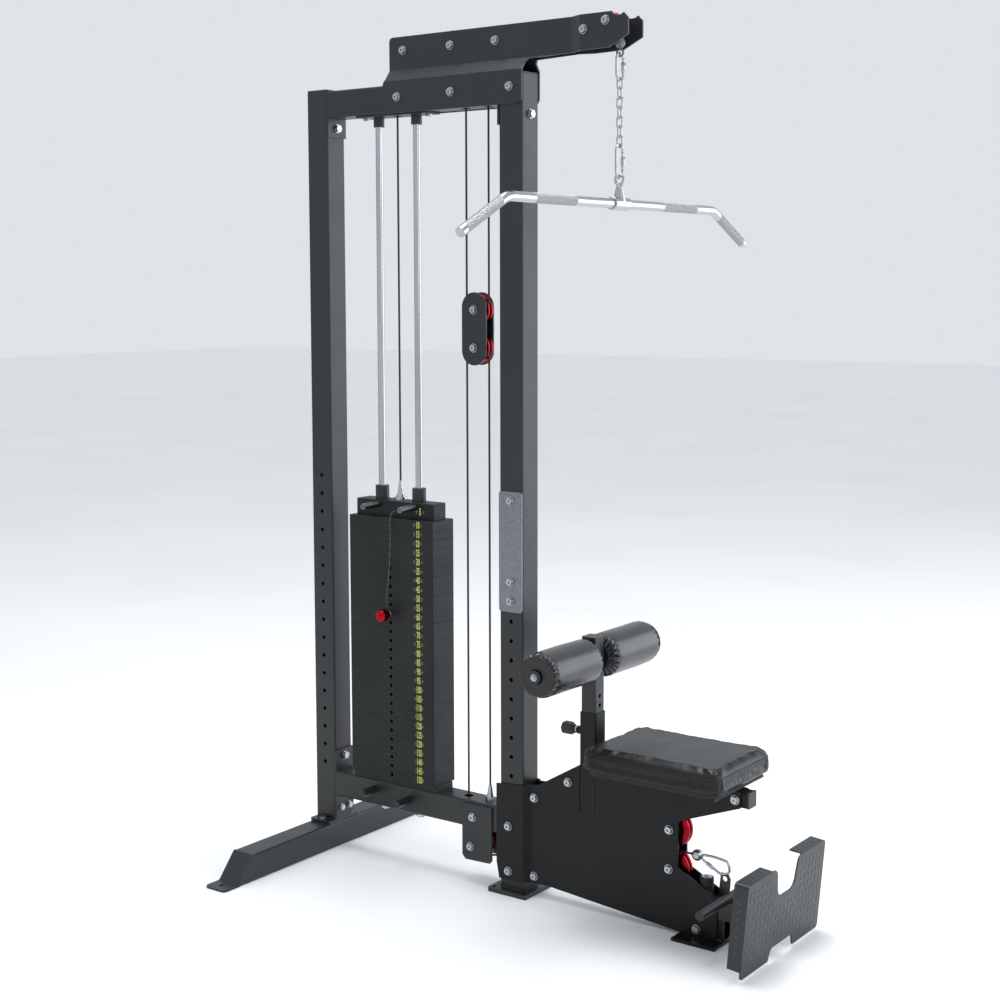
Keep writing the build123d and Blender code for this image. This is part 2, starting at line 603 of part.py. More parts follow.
for label, side in (("foam_roller_left", -1), ("foam_roller_right", 1)):
    with BuildPart() as roller:
        near, far = sorted((side * ROLLER_X[0], side * ROLLER_X[1]))
        bar_x(POST_MID, ROLLER_Z, ROLLER_R, (near, far))
        fillet(roller.edges().filter_by(GeomType.CIRCLE), 12)
        cap = sorted((side * (ROLLER_X[1] - 1), side * (ROLLER_X[1] + 5)))
        bar_x(POST_MID, ROLLER_Z, 46.0, cap)
        bar_x(POST_MID, ROLLER_Z, ROLLER_BORE, (near - 10, far + 10), Mode.SUBTRACT)
    save(roller, label)

with BuildPart() as pop_pin:
    bar_y(0, POP_PIN_Z, POP_STEM_R, (-174.5, -149))
    bar_y(0, POP_PIN_Z, 15.0, (-151, -144))
    bar_y(0, POP_PIN_Z, 19.0, (-145, -106))
    fillet(pop_pin.edges().filter_by(GeomType.CIRCLE).group_by(Axis.Y)[-1], 9)
save(pop_pin, "pop_pin")

# ---------------------------------------------------------------- weight stack
ROD_HOLE_R = 12.0
COLLAR_TOP = STACK_TOP + HEAD_HEIGHT + 39.0
ROD_BOTTOM = 140.0
BRACKET_T = 6.0
STACK_CABLE_Z = 1100.0


def rod_holes(radius, z):
    for y in ROD_STATIONS:
        bar_z(0, y, radius, z, Mode.SUBTRACT)


with BuildPart() as guide_rods:
    for y in ROD_STATIONS:
        bar_z(0, y, ROD_R, (ROD_BOTTOM, TOP_BEAM_Z[0] - BRACKET_T))
        with BuildSketch(Plane.XY.offset(LOWER_BEAM_Z[0] - 12)):
            with Locations((0, aft(y))):
                RegularPolygon(17, 6)
        extrude(amount=12)
save(guide_rods, "guide_rods")

with BuildPart() as rod_bracket:
    block((-30, 30), (STACK_MID - 125, STACK_MID + 125), (TOP_BEAM_Z[0] - BRACKET_T, TOP_BEAM_Z[0]))
    for y in ROD_STATIONS:
        bar_z(0, y, 15.0, (TOP_BEAM_Z[0] - BRACKET_T - 26, TOP_BEAM_Z[0] - BRACKET_T))
        bar_z(0, y, ROD_R + 0.1, (TOP_BEAM_Z[0] - BRACKET_T - 27, TOP_BEAM_Z[0] - BRACKET_T), Mode.SUBTRACT)
    bar_z(0, STACK_MID, 13.0, (TOP_BEAM_Z[0] - BRACKET_T - 1, TOP_BEAM_Z[0] + 1), Mode.SUBTRACT)
    for y in BRACKET_BOLTS:
        bar_z(0, y, 5.25, (TOP_BEAM_Z[0] - BRACKET_T - 1, TOP_BEAM_Z[0] + 1), Mode.SUBTRACT)
save(rod_bracket, "rod_bracket")

with BuildPart() as stack_base:
    with BuildSketch(Plane.XY.offset(LOWER_BEAM_Z[1])):
        with Locations((0, aft(STACK_MID))):
            RectangleRounded(74, STACK_LENGTH + 10, 8)
    extrude(amount=STACK_BOTTOM - LOWER_BEAM_Z[1])
    rod_holes(ROD_R + 0.2, (LOWER_BEAM_Z[1] - 1, STACK_BOTTOM + 1))
    fillet(stack_base.faces().sort_by(Axis.Z)[-1].outer_wire().edges(), 4)
save(stack_base, "stack_base")


def weight_plate(index):
    """One cast plate of the stack, drilled for the stem, the rods and the selector pin."""
    low = STACK_BOTTOM + index * PLATE_PITCH
    with BuildPart() as plate:
        with BuildSketch(Plane.XY.offset(low)) as outline:
            with Locations((0, aft(STACK_MID))):
                RectangleRounded(STACK_WIDTH, STACK_LENGTH, 5)
                Circle(STEM_R + 2.5, mode=Mode.SUBTRACT)
            with Locations(*((0, aft(y)) for y in ROD_STATIONS)):
                Circle(ROD_HOLE_R, mode=Mode.SUBTRACT)
        extrude(amount=PLATE_THICK)
        chamfer(plate.faces().sort_by(Axis.Z)[-1].outer_wire().edges(), 1.2)
        bar_x(STACK_MID, low + PLATE_THICK / 2, 5.5, (-60, 60), Mode.SUBTRACT)
    return plate.part


FIRST_LIFTED = PLATE_COUNT - PINNED_PLATE
with BuildPart() as weight_plates_resting:
    for index in range(FIRST_LIFTED):
        add(weight_plate(index))
save(weight_plates_resting, "weight_plates_resting")

with BuildPart() as weight_plates_lifted:
    for index in range(FIRST_LIFTED, PLATE_COUNT):
        add(weight_plate(index))
save(weight_plates_lifted, "weight_plates_lifted")

UPPER_PEGS = (370.0, 502.0)
UPPER_PEG_Z = STACK_TOP + 33.0
HEAD_HALF = 30.0
with BuildPart() as head_plate:
    with BuildSketch(Plane.XY.offset(STACK_TOP)):
        with Locations((0, aft(STACK_MID))):
            RectangleRounded(2 * HEAD_HALF, 278, 6)
            Circle(STEM_R + 0.1, mode=Mode.SUBTRACT)
        with Locations(*((0, aft(y)) for y in ROD_STATIONS)):
            Circle(ROD_HOLE_R, mode=Mode.SUBTRACT)
    extrude(amount=HEAD_HEIGHT)
    fillet(head_plate.faces().sort_by(Axis.Z)[-1].outer_wire().edges(), 3)
    for y in UPPER_PEGS:
        bar_x(y, UPPER_PEG_Z, 5.2, (-HEAD_HALF - 1, -HEAD_HALF + 16), Mode.SUBTRACT)
save(head_plate, "head_plate")

with BuildPart() as guide_collars:
    for y in ROD_STATIONS:
        bar_z(0, y, 19.5, (STACK_TOP + HEAD_HEIGHT, COLLAR_TOP))
        bar_z(0, y, ROD_R + SLIDE_GAP, (STACK_TOP, COLLAR_TOP + 1), Mode.SUBTRACT)
    rims = guide_collars.faces().group_by(Axis.Z)[-1].edges().filter_by(GeomType.CIRCLE)
    fillet(rims.sort_by(SortBy.RADIUS)[-2:], 3)
save(guide_collars, "guide_collars")

PIN_Z = STACK_BOTTOM + FIRST_LIFTED * PLATE_PITCH + PLATE_THICK / 2
with BuildPart() as selector_stem:
    bar_z(0, STACK_MID, STEM_R, (STACK_BOTTOM + 6, STACK_TOP + HEAD_HEIGHT + 16))
    bar_z(0, STACK_MID, 18.0, (STACK_TOP + HEAD_HEIGHT, STACK_TOP + HEAD_HEIGHT + 10))
    for index in range(PLATE_COUNT):
        hole_z = STACK_BOTTOM + index * PLATE_PITCH + PLATE_THICK / 2
        bar_x(STACK_MID, hole_z, 5.5, (-20, 20), Mode.SUBTRACT)
    with BuildSketch(Plane.XY.offset(STACK_TOP + HEAD_HEIGHT + 16)):
        with Locations((0, aft(STACK_MID))):
            Circle(9)
    extrude(amount=STACK_CABLE_Z - STACK_TOP - HEAD_HEIGHT - 16, taper=7)
save(selector_stem, "selector_stem")

with BuildPart() as upper_band_pegs:
    for y in UPPER_PEGS:
        bar_x(y, UPPER_PEG_Z, 9.0, (-100, -HEAD_HALF))
        bar_x(y, UPPER_PEG_Z, 5.0, (-HEAD_HALF, -HEAD_HALF + 14))
    fillet(upper_band_pegs.faces().filter_by(Axis.X).group_by(Axis.X)[0].edges(), 3)
save(upper_band_pegs, "upper_band_pegs")

KNOB_X = (-98.0, -76.0)
KNOB_R = 17.0
with BuildPart() as selector_pin:
    bar_x(STACK_MID, PIN_Z, 5.0, (KNOB_X[1] - 1, 24))
    bar_x(STACK_MID, PIN_Z, KNOB_R, KNOB_X)
    bar_x(STACK_MID, PIN_Z, 11.0, (KNOB_X[1], -63))
    fillet(selector_pin.edges().filter_by(GeomType.CIRCLE).group_by(Axis.X)[0], 5)
save(selector_pin, "selector_pin")

LANYARD_R = 1.8
LANYARD_RING = (-58.0, 7.4)  # x of the ring round the pin's shaft, and its radius
LANYARD_ROUTE = [
    (-HEAD_HALF - 0.1, 437, 1018), (-50, 437, 1017), (-62, 436, 995), (-61, 434, 945), (-63, 435, 890),
    (-69, 434, 835), (-77, 437, 785), (-70, 442, 754),
    (LANYARD_RING[0], STACK_MID, PIN_Z + LANYARD_RING[1] + 1),
]


def widest_bends(route):
    """The largest arc radius that the two runs at each inner point of a route leave room for."""
    radii = []
    for before, here, after in zip(route, route[1:], route[2:]):
        one = Vector(*here) - Vector(*before)
        two = Vector(*after) - Vector(*here)
        half_turn = math.radians(one.get_angle(two)) / 2
        radii.append(0.45 * min(one.length, two.length) / math.tan(half_turn))
    return radii


lanyard_radii = widest_bends(LANYARD_ROUTE)
print("lanyard bend radii, mm:", [round(r, 1) for r in lanyard_radii])
with BuildPart() as pin_lanyard:
    with BuildLine() as route:
        FilletPolyline(*((x, aft(y), z) for x, y, z in LANYARD_ROUTE), radius=lanyard_radii)
    with BuildSketch(Plane(origin=route.line @ 0, z_dir=route.line % 0)):
        Circle(LANYARD_R)
    sweep()
    with Locations(Location((LANYARD_RING[0], aft(STACK_MID), PIN_Z), (0, 90, 0))):
        Torus(LANYARD_RING[1], LANYARD_R)
save(pin_lanyard, "pin_lanyard")

# ---------------------------------------------------------------- fastenings
ACCESSORY_T = 3.0
with BuildPart() as accessory_plate:
    with BuildSketch(Plane.YZ.offset(-HALF_TUBE - ACCESSORY_T)):
        with Locations((aft(HALF_TUBE), 938)):
            RectangleRounded(TUBE, 324, 8)
    extrude(amount=ACCESSORY_T)
    bolt_holes(ACCESSORY_BOLTS, M12)
save(accessory_plate, "accessory_plate")


def foot_bolt(x, y, head_z, tail_z, diameter):
    """A vertical bolt whose hexagonal head points away from its tail."""
    up = 1 if head_z > tail_z else -1
    bar_z(x, y, diameter / 2, sorted((head_z, tail_z)))
    with BuildSketch(Plane.XY.offset(head_z)) as hexagon:
        with Locations((x, aft(y))):
            RegularPolygon(diameter * 0.92, 6)
    extrude(hexagon.sketch, amount=up * diameter * 0.6)


with BuildPart() as frame_bolts:
    for y, z, gap in TOP_PULLEYS:
        cross_bolt(y, z, gap + PLATE, gap + PLATE)
        spacers(y, z, gap)
    for y, z in (*TOP_BEAM_BOLTS, TOP_FRONT_BOLT, *UPRIGHT_SIDE_BOLTS, GUSSET_BOLT, LOW_PULLEY):
        cross_bolt(y, z, HALF_TUBE + PLATE, HALF_TUBE + PLATE)
    spacers(*LOW_PULLEY, HALF_TUBE)
    for y, z in (*SEAT_BOLTS, RAIL_BOLT, *ROW_PULLEYS):
        cross_bolt(y, z, SEAT_GAP + PLATE, SEAT_GAP + PLATE)
    for y, z in ROW_PULLEYS:
        spacers(y, z, SEAT_GAP)
    for y, z in SEAT_BOLTS[:3]:
        ring_x(y, z, 11.0, M12 / 2 + 0.05, (-SEAT_GAP, SEAT_GAP))
    for y, z in ACCESSORY_BOLTS:
        cross_bolt(y, z, HALF_TUBE + ACCESSORY_T, HALF_TUBE)
    for x, z, size in (*TOP_FLANGE_BOLTS, *LOW_FLANGE_BOLTS):
        long_bolt(x, z, (0, TUBE + FLANGE), size)
        long_bolt(x, z, (REAR_FACE - FLANGE, REAR_FACE + TUBE), size)
    for x in (-52, 52):
        foot_bolt(x, REAR_FACE + HALF_TUBE, TUBE + 9, TUBE - 12, M12)
    for y in BRACKET_BOLTS:
        foot_bolt(0, y, TOP_BEAM_Z[0] - BRACKET_T, TOP_BEAM_Z[0] + 14, M10)
save(frame_bolts, "frame_bolts")

BEARINGS = (*((y, z) for y, z, _ in TOP_PULLEYS[:4]), LOW_PULLEY, *ROW_PULLEYS)
TIP_BEARING_R = 10.0
with BuildPart() as pulley_bearings:
    half = PULLEY_WIDTH / 2 - 1
    for y, z in BEARINGS:
        ring_x(y, z, BEARING_R, M12 / 2 + 0.05, (-half, half))
    ring_x(TIP_ROLLER, TIP_ROLLER_Z, TIP_BEARING_R, M12 / 2 + 0.05, (-half, half))
save(pulley_bearings, "pulley_bearings")

# ---------------------------------------------------------------- pulleys
SMALL_PULLEYS = {
    "pulley_stack": (STACK_PULLEY, PULLEY_Z),
    "pulley_block_rear": (REAR_PULLEY, PULLEY_Z),
    "pulley_block_front": (FRONT_PULLEY, PULLEY_Z),
    "pulley_carry": (CARRY_PULLEY, PULLEY_Z),
    "lower_pulley": LOW_PULLEY,
    "block_pulley_upper": (BLOCK_MID, BLOCK_PULLEY_Z[0]),
    "block_pulley_lower": (BLOCK_MID, BLOCK_PULLEY_Z[1]),
}
for label, (y, z) in SMALL_PULLEYS.items():
    with BuildPart() as wheel:
        pulley(y, z, TOP_PULLEY_R if z == PULLEY_Z else PULLEY_R, PITCH_R)
    save(wheel, label)
for label, (y, z) in zip(("row_pulley_upper", "row_pulley_lower"), ROW_PULLEYS):
    with BuildPart() as wheel:
        pulley(y, z, ROW_PULLEY_R, ROW_PITCH_R)
    save(wheel, label)
with BuildPart() as tip_roller:
    pulley(TIP_ROLLER, TIP_ROLLER_Z, TIP_ROLLER_R, TIP_PITCH_R, bore=TIP_BEARING_R + 0.05, recessed=False)
save(tip_roller, "tip_roller")

# ---------------------------------------------------------------- floating pulley block
BLOCK_GAP = 14.0
BLOCK_END_R = 40.0
with BuildPart() as block_plates:
    for x in (-BLOCK_GAP - PLATE, BLOCK_GAP):
        with BuildSketch(Plane.YZ.offset(x)):
            with Locations((aft(BLOCK_MID), sum(BLOCK_PULLEY_Z) / 2)):
                length = BLOCK_PULLEY_Z[0] - BLOCK_PULLEY_Z[1] + 14
                SlotCenterToCenter(length, 2 * BLOCK_END_R, rotation=90)
        extrude(amount=PLATE)
    bolt_holes([(BLOCK_MID, z) for z in BLOCK_PULLEY_Z], M12)
save(block_plates, "block_plates")

with BuildPart() as block_axles:
    for z in BLOCK_PULLEY_Z:
        cross_bolt(BLOCK_MID, z, BLOCK_GAP + PLATE, BLOCK_GAP + PLATE)
        spacers(BLOCK_MID, z, BLOCK_GAP)
        ring_x(BLOCK_MID, z, BEARING_R, M12 / 2 + 0.05, (-half, half))
save(block_axles, "block_axles")

# ---------------------------------------------------------------- cables
def cable(start, heading, *moves):
    """A cable in the middle plane: a length runs straight, a (radius, degrees) pair turns.

    The heading is in degrees from +Y towards +Z.
    """
    y, z = start
    angle = math.radians(heading)
    with BuildLine() as path:
        for move in moves:
            if isinstance(move, tuple):
                radius, turn = move[0], math.radians(move[1])
                side = math.copysign(1, turn)
                centre = (y - side * radius * math.sin(angle), z + side * radius * math.cos(angle))
                points = []
                for share in (0, 0.5, 1):
                    a = angle + turn * share
                    points.append((centre[0] + side * radius * math.sin(a), centre[1] - side * radius * math.cos(a)))
                ThreePointArc(*((0, aft(p), q) for p, q in points))
                y, z = points[-1]
                angle += turn
            else:
                ahead = (y + move * math.cos(angle), z + move * math.sin(angle))
                Line((0, aft(y), z), (0, aft(ahead[0]), ahead[1]))
                y, z = ahead
    wire = path.wire()
    across = Vector(0, math.cos(math.radians(heading)), math.sin(math.radians(heading)))
    with BuildSketch(Plane(origin=(0, aft(start[0]), start[1]), z_dir=across)) as section:
        Circle(CABLE_R)
    sweep(section.sketch, path=wire)


LOWER_ANCHOR_Z = 275.0
centre_distance = math.hypot(LOW_PULLEY[0] - ROW_PULLEYS[1][0], ROW_PULLEYS[1][1] - LOW_PULLEY[1])
row_rise = math.degrees(
    math.atan2(ROW_PULLEYS[1][1] - LOW_PULLEY[1], LOW_PULLEY[0] - ROW_PULLEYS[1][0])
    + math.asin((PITCH_R + ROW_PITCH_R) / centre_distance)
)
row_run = math.sqrt(centre_distance**2 - (PITCH_R + ROW_PITCH_R) ** 2)
with BuildPart() as cables_fixed:
    cable(
        (CABLE_DROP, TIP_ROLLER_Z), 90, (TIP_PITCH_R, -90), FRONT_PULLEY - TIP_ROLLER, (PITCH_R, -90),
    )
    cable((CABLE_REAR, PULLEY_Z), 90, (PITCH_R, -90), STACK_PULLEY - REAR_PULLEY, (PITCH_R, -90))
    cable(
        (CABLE_REAR, LOWER_ANCHOR_Z), -90, LOWER_ANCHOR_Z - LOW_PULLEY[1], (PITCH_R, -90 - row_rise),
        row_run, (ROW_PITCH_R, row_rise),
    )
save(cables_fixed, "cables_fixed")

with BuildPart() as stack_cable:
    bar_z(0, STACK_MID, CABLE_R, (STACK_CABLE_Z, PULLEY_Z))
save(stack_cable, "stack_cable")

with BuildPart() as block_cable_wraps:
    cable((CABLE_FRONT, BLOCK_PULLEY_Z[0]), -90, (PITCH_R, 180))
    cable((CABLE_FRONT, BLOCK_PULLEY_Z[1]), 90, (PITCH_R, -180))
save(block_cable_wraps, "block_cable_wraps")

with BuildPart() as block_cable_runs_upper:
    for y in (CABLE_FRONT, CABLE_REAR):
        bar_z(0, y, CABLE_R, (BLOCK_PULLEY_Z[0], PULLEY_Z))
save(block_cable_runs_upper, "block_cable_runs_upper")

with BuildPart() as block_cable_runs_lower:
    for y in (CABLE_FRONT, CABLE_REAR):
        bar_z(0, y, CABLE_R, (LOWER_ANCHOR_Z, BLOCK_PULLEY_Z[1]))
save(block_cable_runs_lower, "block_cable_runs_lower")

with BuildPart() as cable_anchor:
    bar_z(0, CABLE_FRONT, 6.0, (LOWER_BEAM_Z[1] - 18, LOWER_BEAM_Z[1]))
    with BuildSketch(Plane.XY.offset(LOWER_BEAM_Z[1])):
        with Locations((0, aft(CABLE_FRONT))):
            RegularPolygon(14, 6)
    extrude(amount=10)
    with BuildSketch(Plane.XY.offset(LOWER_BEAM_Z[1] + 10)):
        with Locations((0, aft(CABLE_FRONT))):
            Circle(10)
    extrude(amount=LOWER_ANCHOR_Z - LOWER_BEAM_Z[1] - 10, taper=9)
save(cable_anchor, "cable_anchor")

# ---------------------------------------------------------------- lat bar and its chain
BALL_Z = 2245.0
BALL_R = 13.0
EYE_MAJOR = 9.0
EYE_R = 2.5
CARABINER_R = 4.0
LINK_R = 2.75
LINK_LENGTH = 35.0
LINK_PITCH = LINK_LENGTH - 4 * LINK_R - 0.1
LINK_COUNT = 7
HOOK_GAP = 0.1
EYE_Z = BALL_Z - BALL_R - EYE_MAJOR - EYE_R + 0.5
UPPER_HOOK_TOP = EYE_Z - EYE_MAJOR + EYE_R + HOOK_GAP + 2 * CARABINER_R
UPPER_HOOK_BOTTOM = 2150.0
FIRST_LINK_Z = UPPER_HOOK_BOTTOM + 2 * CARABINER_R + HOOK_GAP + 2 * LINK_R - LINK_LENGTH / 2
LAST_LINK_Z = FIRST_LINK_Z - (LINK_COUNT - 1) * LINK_PITCH
LOWER_HOOK_TOP = LAST_LINK_Z - LINK_LENGTH / 2 + 2 * LINK_R + HOOK_GAP + 2 * CARABINER_R
LOWER_HOOK_BOTTOM = 1908.0
BAR_Z = 1848.0
BAR_R = 12.5
SWIVEL_R = 6.0


def ring_link(middle, length, width, wire_r, across):
    """A stadium-shaped ring hanging along Z; across is its in-plane horizontal direction."""
    facing = Vector(*across).cross(Vector(0, 0, 1))
    plane = Plane(origin=(0, aft(CABLE_DROP), middle), x_dir=across, z_dir=facing)
    reach = length / 2 - wire_r
    half_width = width / 2 - wire_r
    straight = reach - half_width
    with BuildLine(plane) as path:
        Line((-half_width, -straight), (-half_width, straight))
        ThreePointArc((-half_width, straight), (0, reach), (half_width, straight))
        Line((half_width, straight), (half_width, -straight))
        ThreePointArc((half_width, -straight), (0, -reach), (-half_width, -straight))
    corner = plane.from_local_coords((-half_width, -straight))
    with BuildSketch(Plane(origin=corner)) as section:
        Circle(wire_r)
    sweep(section.sketch, path=path.wire())


with BuildPart() as lat_stop_ball:
    with Locations((0, aft(CABLE_DROP), BALL_Z)):
        Sphere(BALL_R)
    with Locations(Location((0, aft(CABLE_DROP), EYE_Z), (0, 90, 0))):
        Torus(EYE_MAJOR, EYE_R)
save(lat_stop_ball, "lat_stop_ball")

with BuildPart() as lat_chain:
    for top, bottom in ((UPPER_HOOK_TOP, UPPER_HOOK_BOTTOM), (LOWER_HOOK_TOP, LOWER_HOOK_BOTTOM)):
        ring_link((top + bottom) / 2, top - bottom, 40, CARABINER_R, (1, 0, 0))
        bar_z(16, CABLE_DROP, 6.0, ((top + bottom) / 2 - 12, (top + bottom) / 2 + 12))
    for index in range(LINK_COUNT):
        across = (0, 1, 0) if index % 2 == 0 else (1, 0, 0)
        ring_link(FIRST_LINK_Z - index * LINK_PITCH, LINK_LENGTH, 20, LINK_R, across)
    eye_z = LOWER_HOOK_BOTTOM + 2 * CARABINER_R + HOOK_GAP - 8.0
    with Locations(Location((0, aft(CABLE_DROP), eye_z), (0, 90, 0))):
        Torus(12, 4)
    bar_z(0, CABLE_DROP, SWIVEL_R, (BAR_Z + 24, eye_z - 9))
save(lat_chain, "lat_chain")

with BuildPart() as lat_bar:
    with BuildLine():
        FilletPolyline(
            (-665, aft(CABLE_DROP), 1761), (-487, aft(CABLE_DROP), BAR_Z), (487, aft(CABLE_DROP), BAR_Z),
            (665, aft(CABLE_DROP), 1761), radius=70,
        )
    with BuildSketch(Plane(origin=(-665, aft(CABLE_DROP), 1761), z_dir=(178, 0, BAR_Z - 1761))):
        Circle(BAR_R)
    sweep()
    bar_x(CABLE_DROP, BAR_Z, 17.0, (-38, 38))
    tips = lat_bar.faces().filter_by(Axis.X).edges().filter_by(GeomType.CIRCLE)
    fillet(tips.sort_by(SortBy.RADIUS)[-2:], 3)
    with BuildSketch(Plane.XY.offset(BAR_Z)):
        with Locations((0, aft(CABLE_DROP))):
            Circle(18)
    extrude(amount=40, taper=12)
    bar_z(0, CABLE_DROP, SWIVEL_R + 0.05, (BAR_Z + 23, BAR_Z + 41), Mode.SUBTRACT)
save(lat_bar, "lat_bar")

with BuildPart() as lat_cable_drop:
    bar_z(0, CABLE_DROP, CABLE_R, (BALL_Z + BALL_R + 0.1, TIP_ROLLER_Z))
save(lat_cable_drop, "lat_cable_drop")

# ---------------------------------------------------------------- row cable end
ROW_BALL = (-514.0, ROW_EXIT_Z)
ROW_BALL_R = 15.0
ROW_HOOK_R = 3.5
with BuildPart() as row_cable_out:
    bar_y(0, ROW_EXIT_Z, CABLE_R, (ROW_BALL[0] + ROW_BALL_R, ROW_PULLEYS[1][0] - SLIDE_GAP))
save(row_cable_out, "row_cable_out")

with BuildPart() as row_end:
    with Locations((0, aft(ROW_BALL[0]), ROW_BALL[1])):
        Sphere(ROW_BALL_R)
    with BuildLine() as hook:
        FilletPolyline(
            (0, aft(-560), 214), (0, aft(-525), 212), (0, aft(-530), 200), (0, aft(-560), 184),
            (0, aft(-580), 172.5), (0, aft(-605), 180), (0, aft(-600), 208),
            close=True, radius=6,
        )
    with BuildSketch(Plane(origin=hook.line @ 0, z_dir=hook.line % 0)):
        Circle(ROW_HOOK_R)
    sweep()
save(row_end, "row_end")
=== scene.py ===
"""The looks of a lat pulldown and low row machine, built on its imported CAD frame.

Lengths are in metres, in the row frame: +Z up, +Y from the seat towards the weight stack.
"""
import bpy
import math
from mathutils import Matrix, Vector, noise


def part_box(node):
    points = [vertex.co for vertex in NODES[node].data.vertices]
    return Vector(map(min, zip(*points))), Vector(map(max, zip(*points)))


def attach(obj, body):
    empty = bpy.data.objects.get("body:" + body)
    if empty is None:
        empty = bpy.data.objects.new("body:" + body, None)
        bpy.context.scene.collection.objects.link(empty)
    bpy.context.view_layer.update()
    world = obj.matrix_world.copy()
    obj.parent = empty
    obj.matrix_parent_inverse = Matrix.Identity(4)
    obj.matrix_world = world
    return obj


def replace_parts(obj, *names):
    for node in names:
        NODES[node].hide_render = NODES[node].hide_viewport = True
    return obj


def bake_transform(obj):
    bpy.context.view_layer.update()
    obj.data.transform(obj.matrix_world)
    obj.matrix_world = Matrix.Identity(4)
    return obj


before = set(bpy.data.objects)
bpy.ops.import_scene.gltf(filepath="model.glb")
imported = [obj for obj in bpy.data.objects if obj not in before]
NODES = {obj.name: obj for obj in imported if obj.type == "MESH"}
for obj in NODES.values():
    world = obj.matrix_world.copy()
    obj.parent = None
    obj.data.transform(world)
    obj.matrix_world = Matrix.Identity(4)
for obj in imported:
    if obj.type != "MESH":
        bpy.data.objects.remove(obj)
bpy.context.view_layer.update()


# ---------------------------------------------------------------- places read from the frame
def middle(node):
    low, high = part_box(node)
    return (low + high) / 2


FRONT_FACE_Y = middle("stack_cable").y - 0.445   # front face of the front upright
DROP_Y = middle("lat_bar").y
STACK_LOW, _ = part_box("weight_plates_resting")
_, STACK_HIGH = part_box("weight_plates_lifted")
STACK_Y = (STACK_LOW.y + STACK_HIGH.y) / 2
PLATE_COUNT = 29
PLATE_GAP = 0.0004
PLATE_PITCH = (STACK_HIGH.z - STACK_LOW.z + PLATE_GAP) / PLATE_COUNT
CABLE_R = 0.0029
LANYARD_R = 0.0018


def aft(distance):
    """Row-frame y of a place measured from the front upright's front face."""
    return FRONT_FACE_Y + distance


# ---------------------------------------------------------------- camera and light
CAMERA_PLACE = (-3.604, aft(-2.495), 1.642)
CAMERA_AHEAD = (0.8019, 0.5885, -0.1027)
CAMERA_ROLL = -0.18       # degrees


def make_camera():
    data = bpy.data.cameras.new("camera")
    data.sensor_width = 36.0
    data.lens = 59.76
    data.shift_x = 0.015
    data.shift_y = -0.042
    data.clip_start = 0.1
    data.clip_end = 60.0
    camera = bpy.data.objects.new("camera", data)
    bpy.context.scene.collection.objects.link(camera)
    aim = Vector(CAMERA_AHEAD).to_track_quat("-Z", "Y").to_matrix()
    turn = aim @ Matrix.Rotation(math.radians(CAMERA_ROLL), 3, "Z")
    camera.matrix_world = Matrix.Translation(CAMERA_PLACE) @ turn.to_4x4()
    bpy.context.scene.camera = camera


def area_light(name, place, target, size, power, tint=(1, 1, 1)):
    data = bpy.data.lights.new(name, "AREA")
    data.shape = "RECTANGLE"
    data.size = size[0]
    data.size_y = size[1]
    data.energy = power
    data.color = tint
    lamp = bpy.data.objects.new(name, data)
    lamp.visible_camera = False
    lamp.location = place
    lamp.rotation_euler = (Vector(target) - Vector(place)).to_track_quat("-Z", "Y").to_euler()
    bpy.context.scene.collection.objects.link(lamp)


def make_studio():
    world = bpy.data.worlds.new("studio")
    world.use_nodes = True
    world.node_tree.nodes["Background"].inputs["Color"].default_value = (0.91, 0.965, 1.0, 1)
    world.node_tree.nodes["Background"].inputs["Strength"].default_value = 0.80
    bpy.context.scene.world = world
    bpy.context.scene.view_settings.view_transform = "Standard"
    area_light("key", (4.6, -3.9, 1.9), (0, -0.2, 1.1), (5.0, 4.0), 135, (0.86, 0.91, 1.0))
    area_light("front", (-0.6, -5.2, 2.6), (0, -0.2, 0.9), (2.5, 2.5), 60, (0.90, 0.94, 1.0))
    area_light("top", (0.2, 0.3, 5.2), (0, 0, 0), (2.2, 2.2), 150)


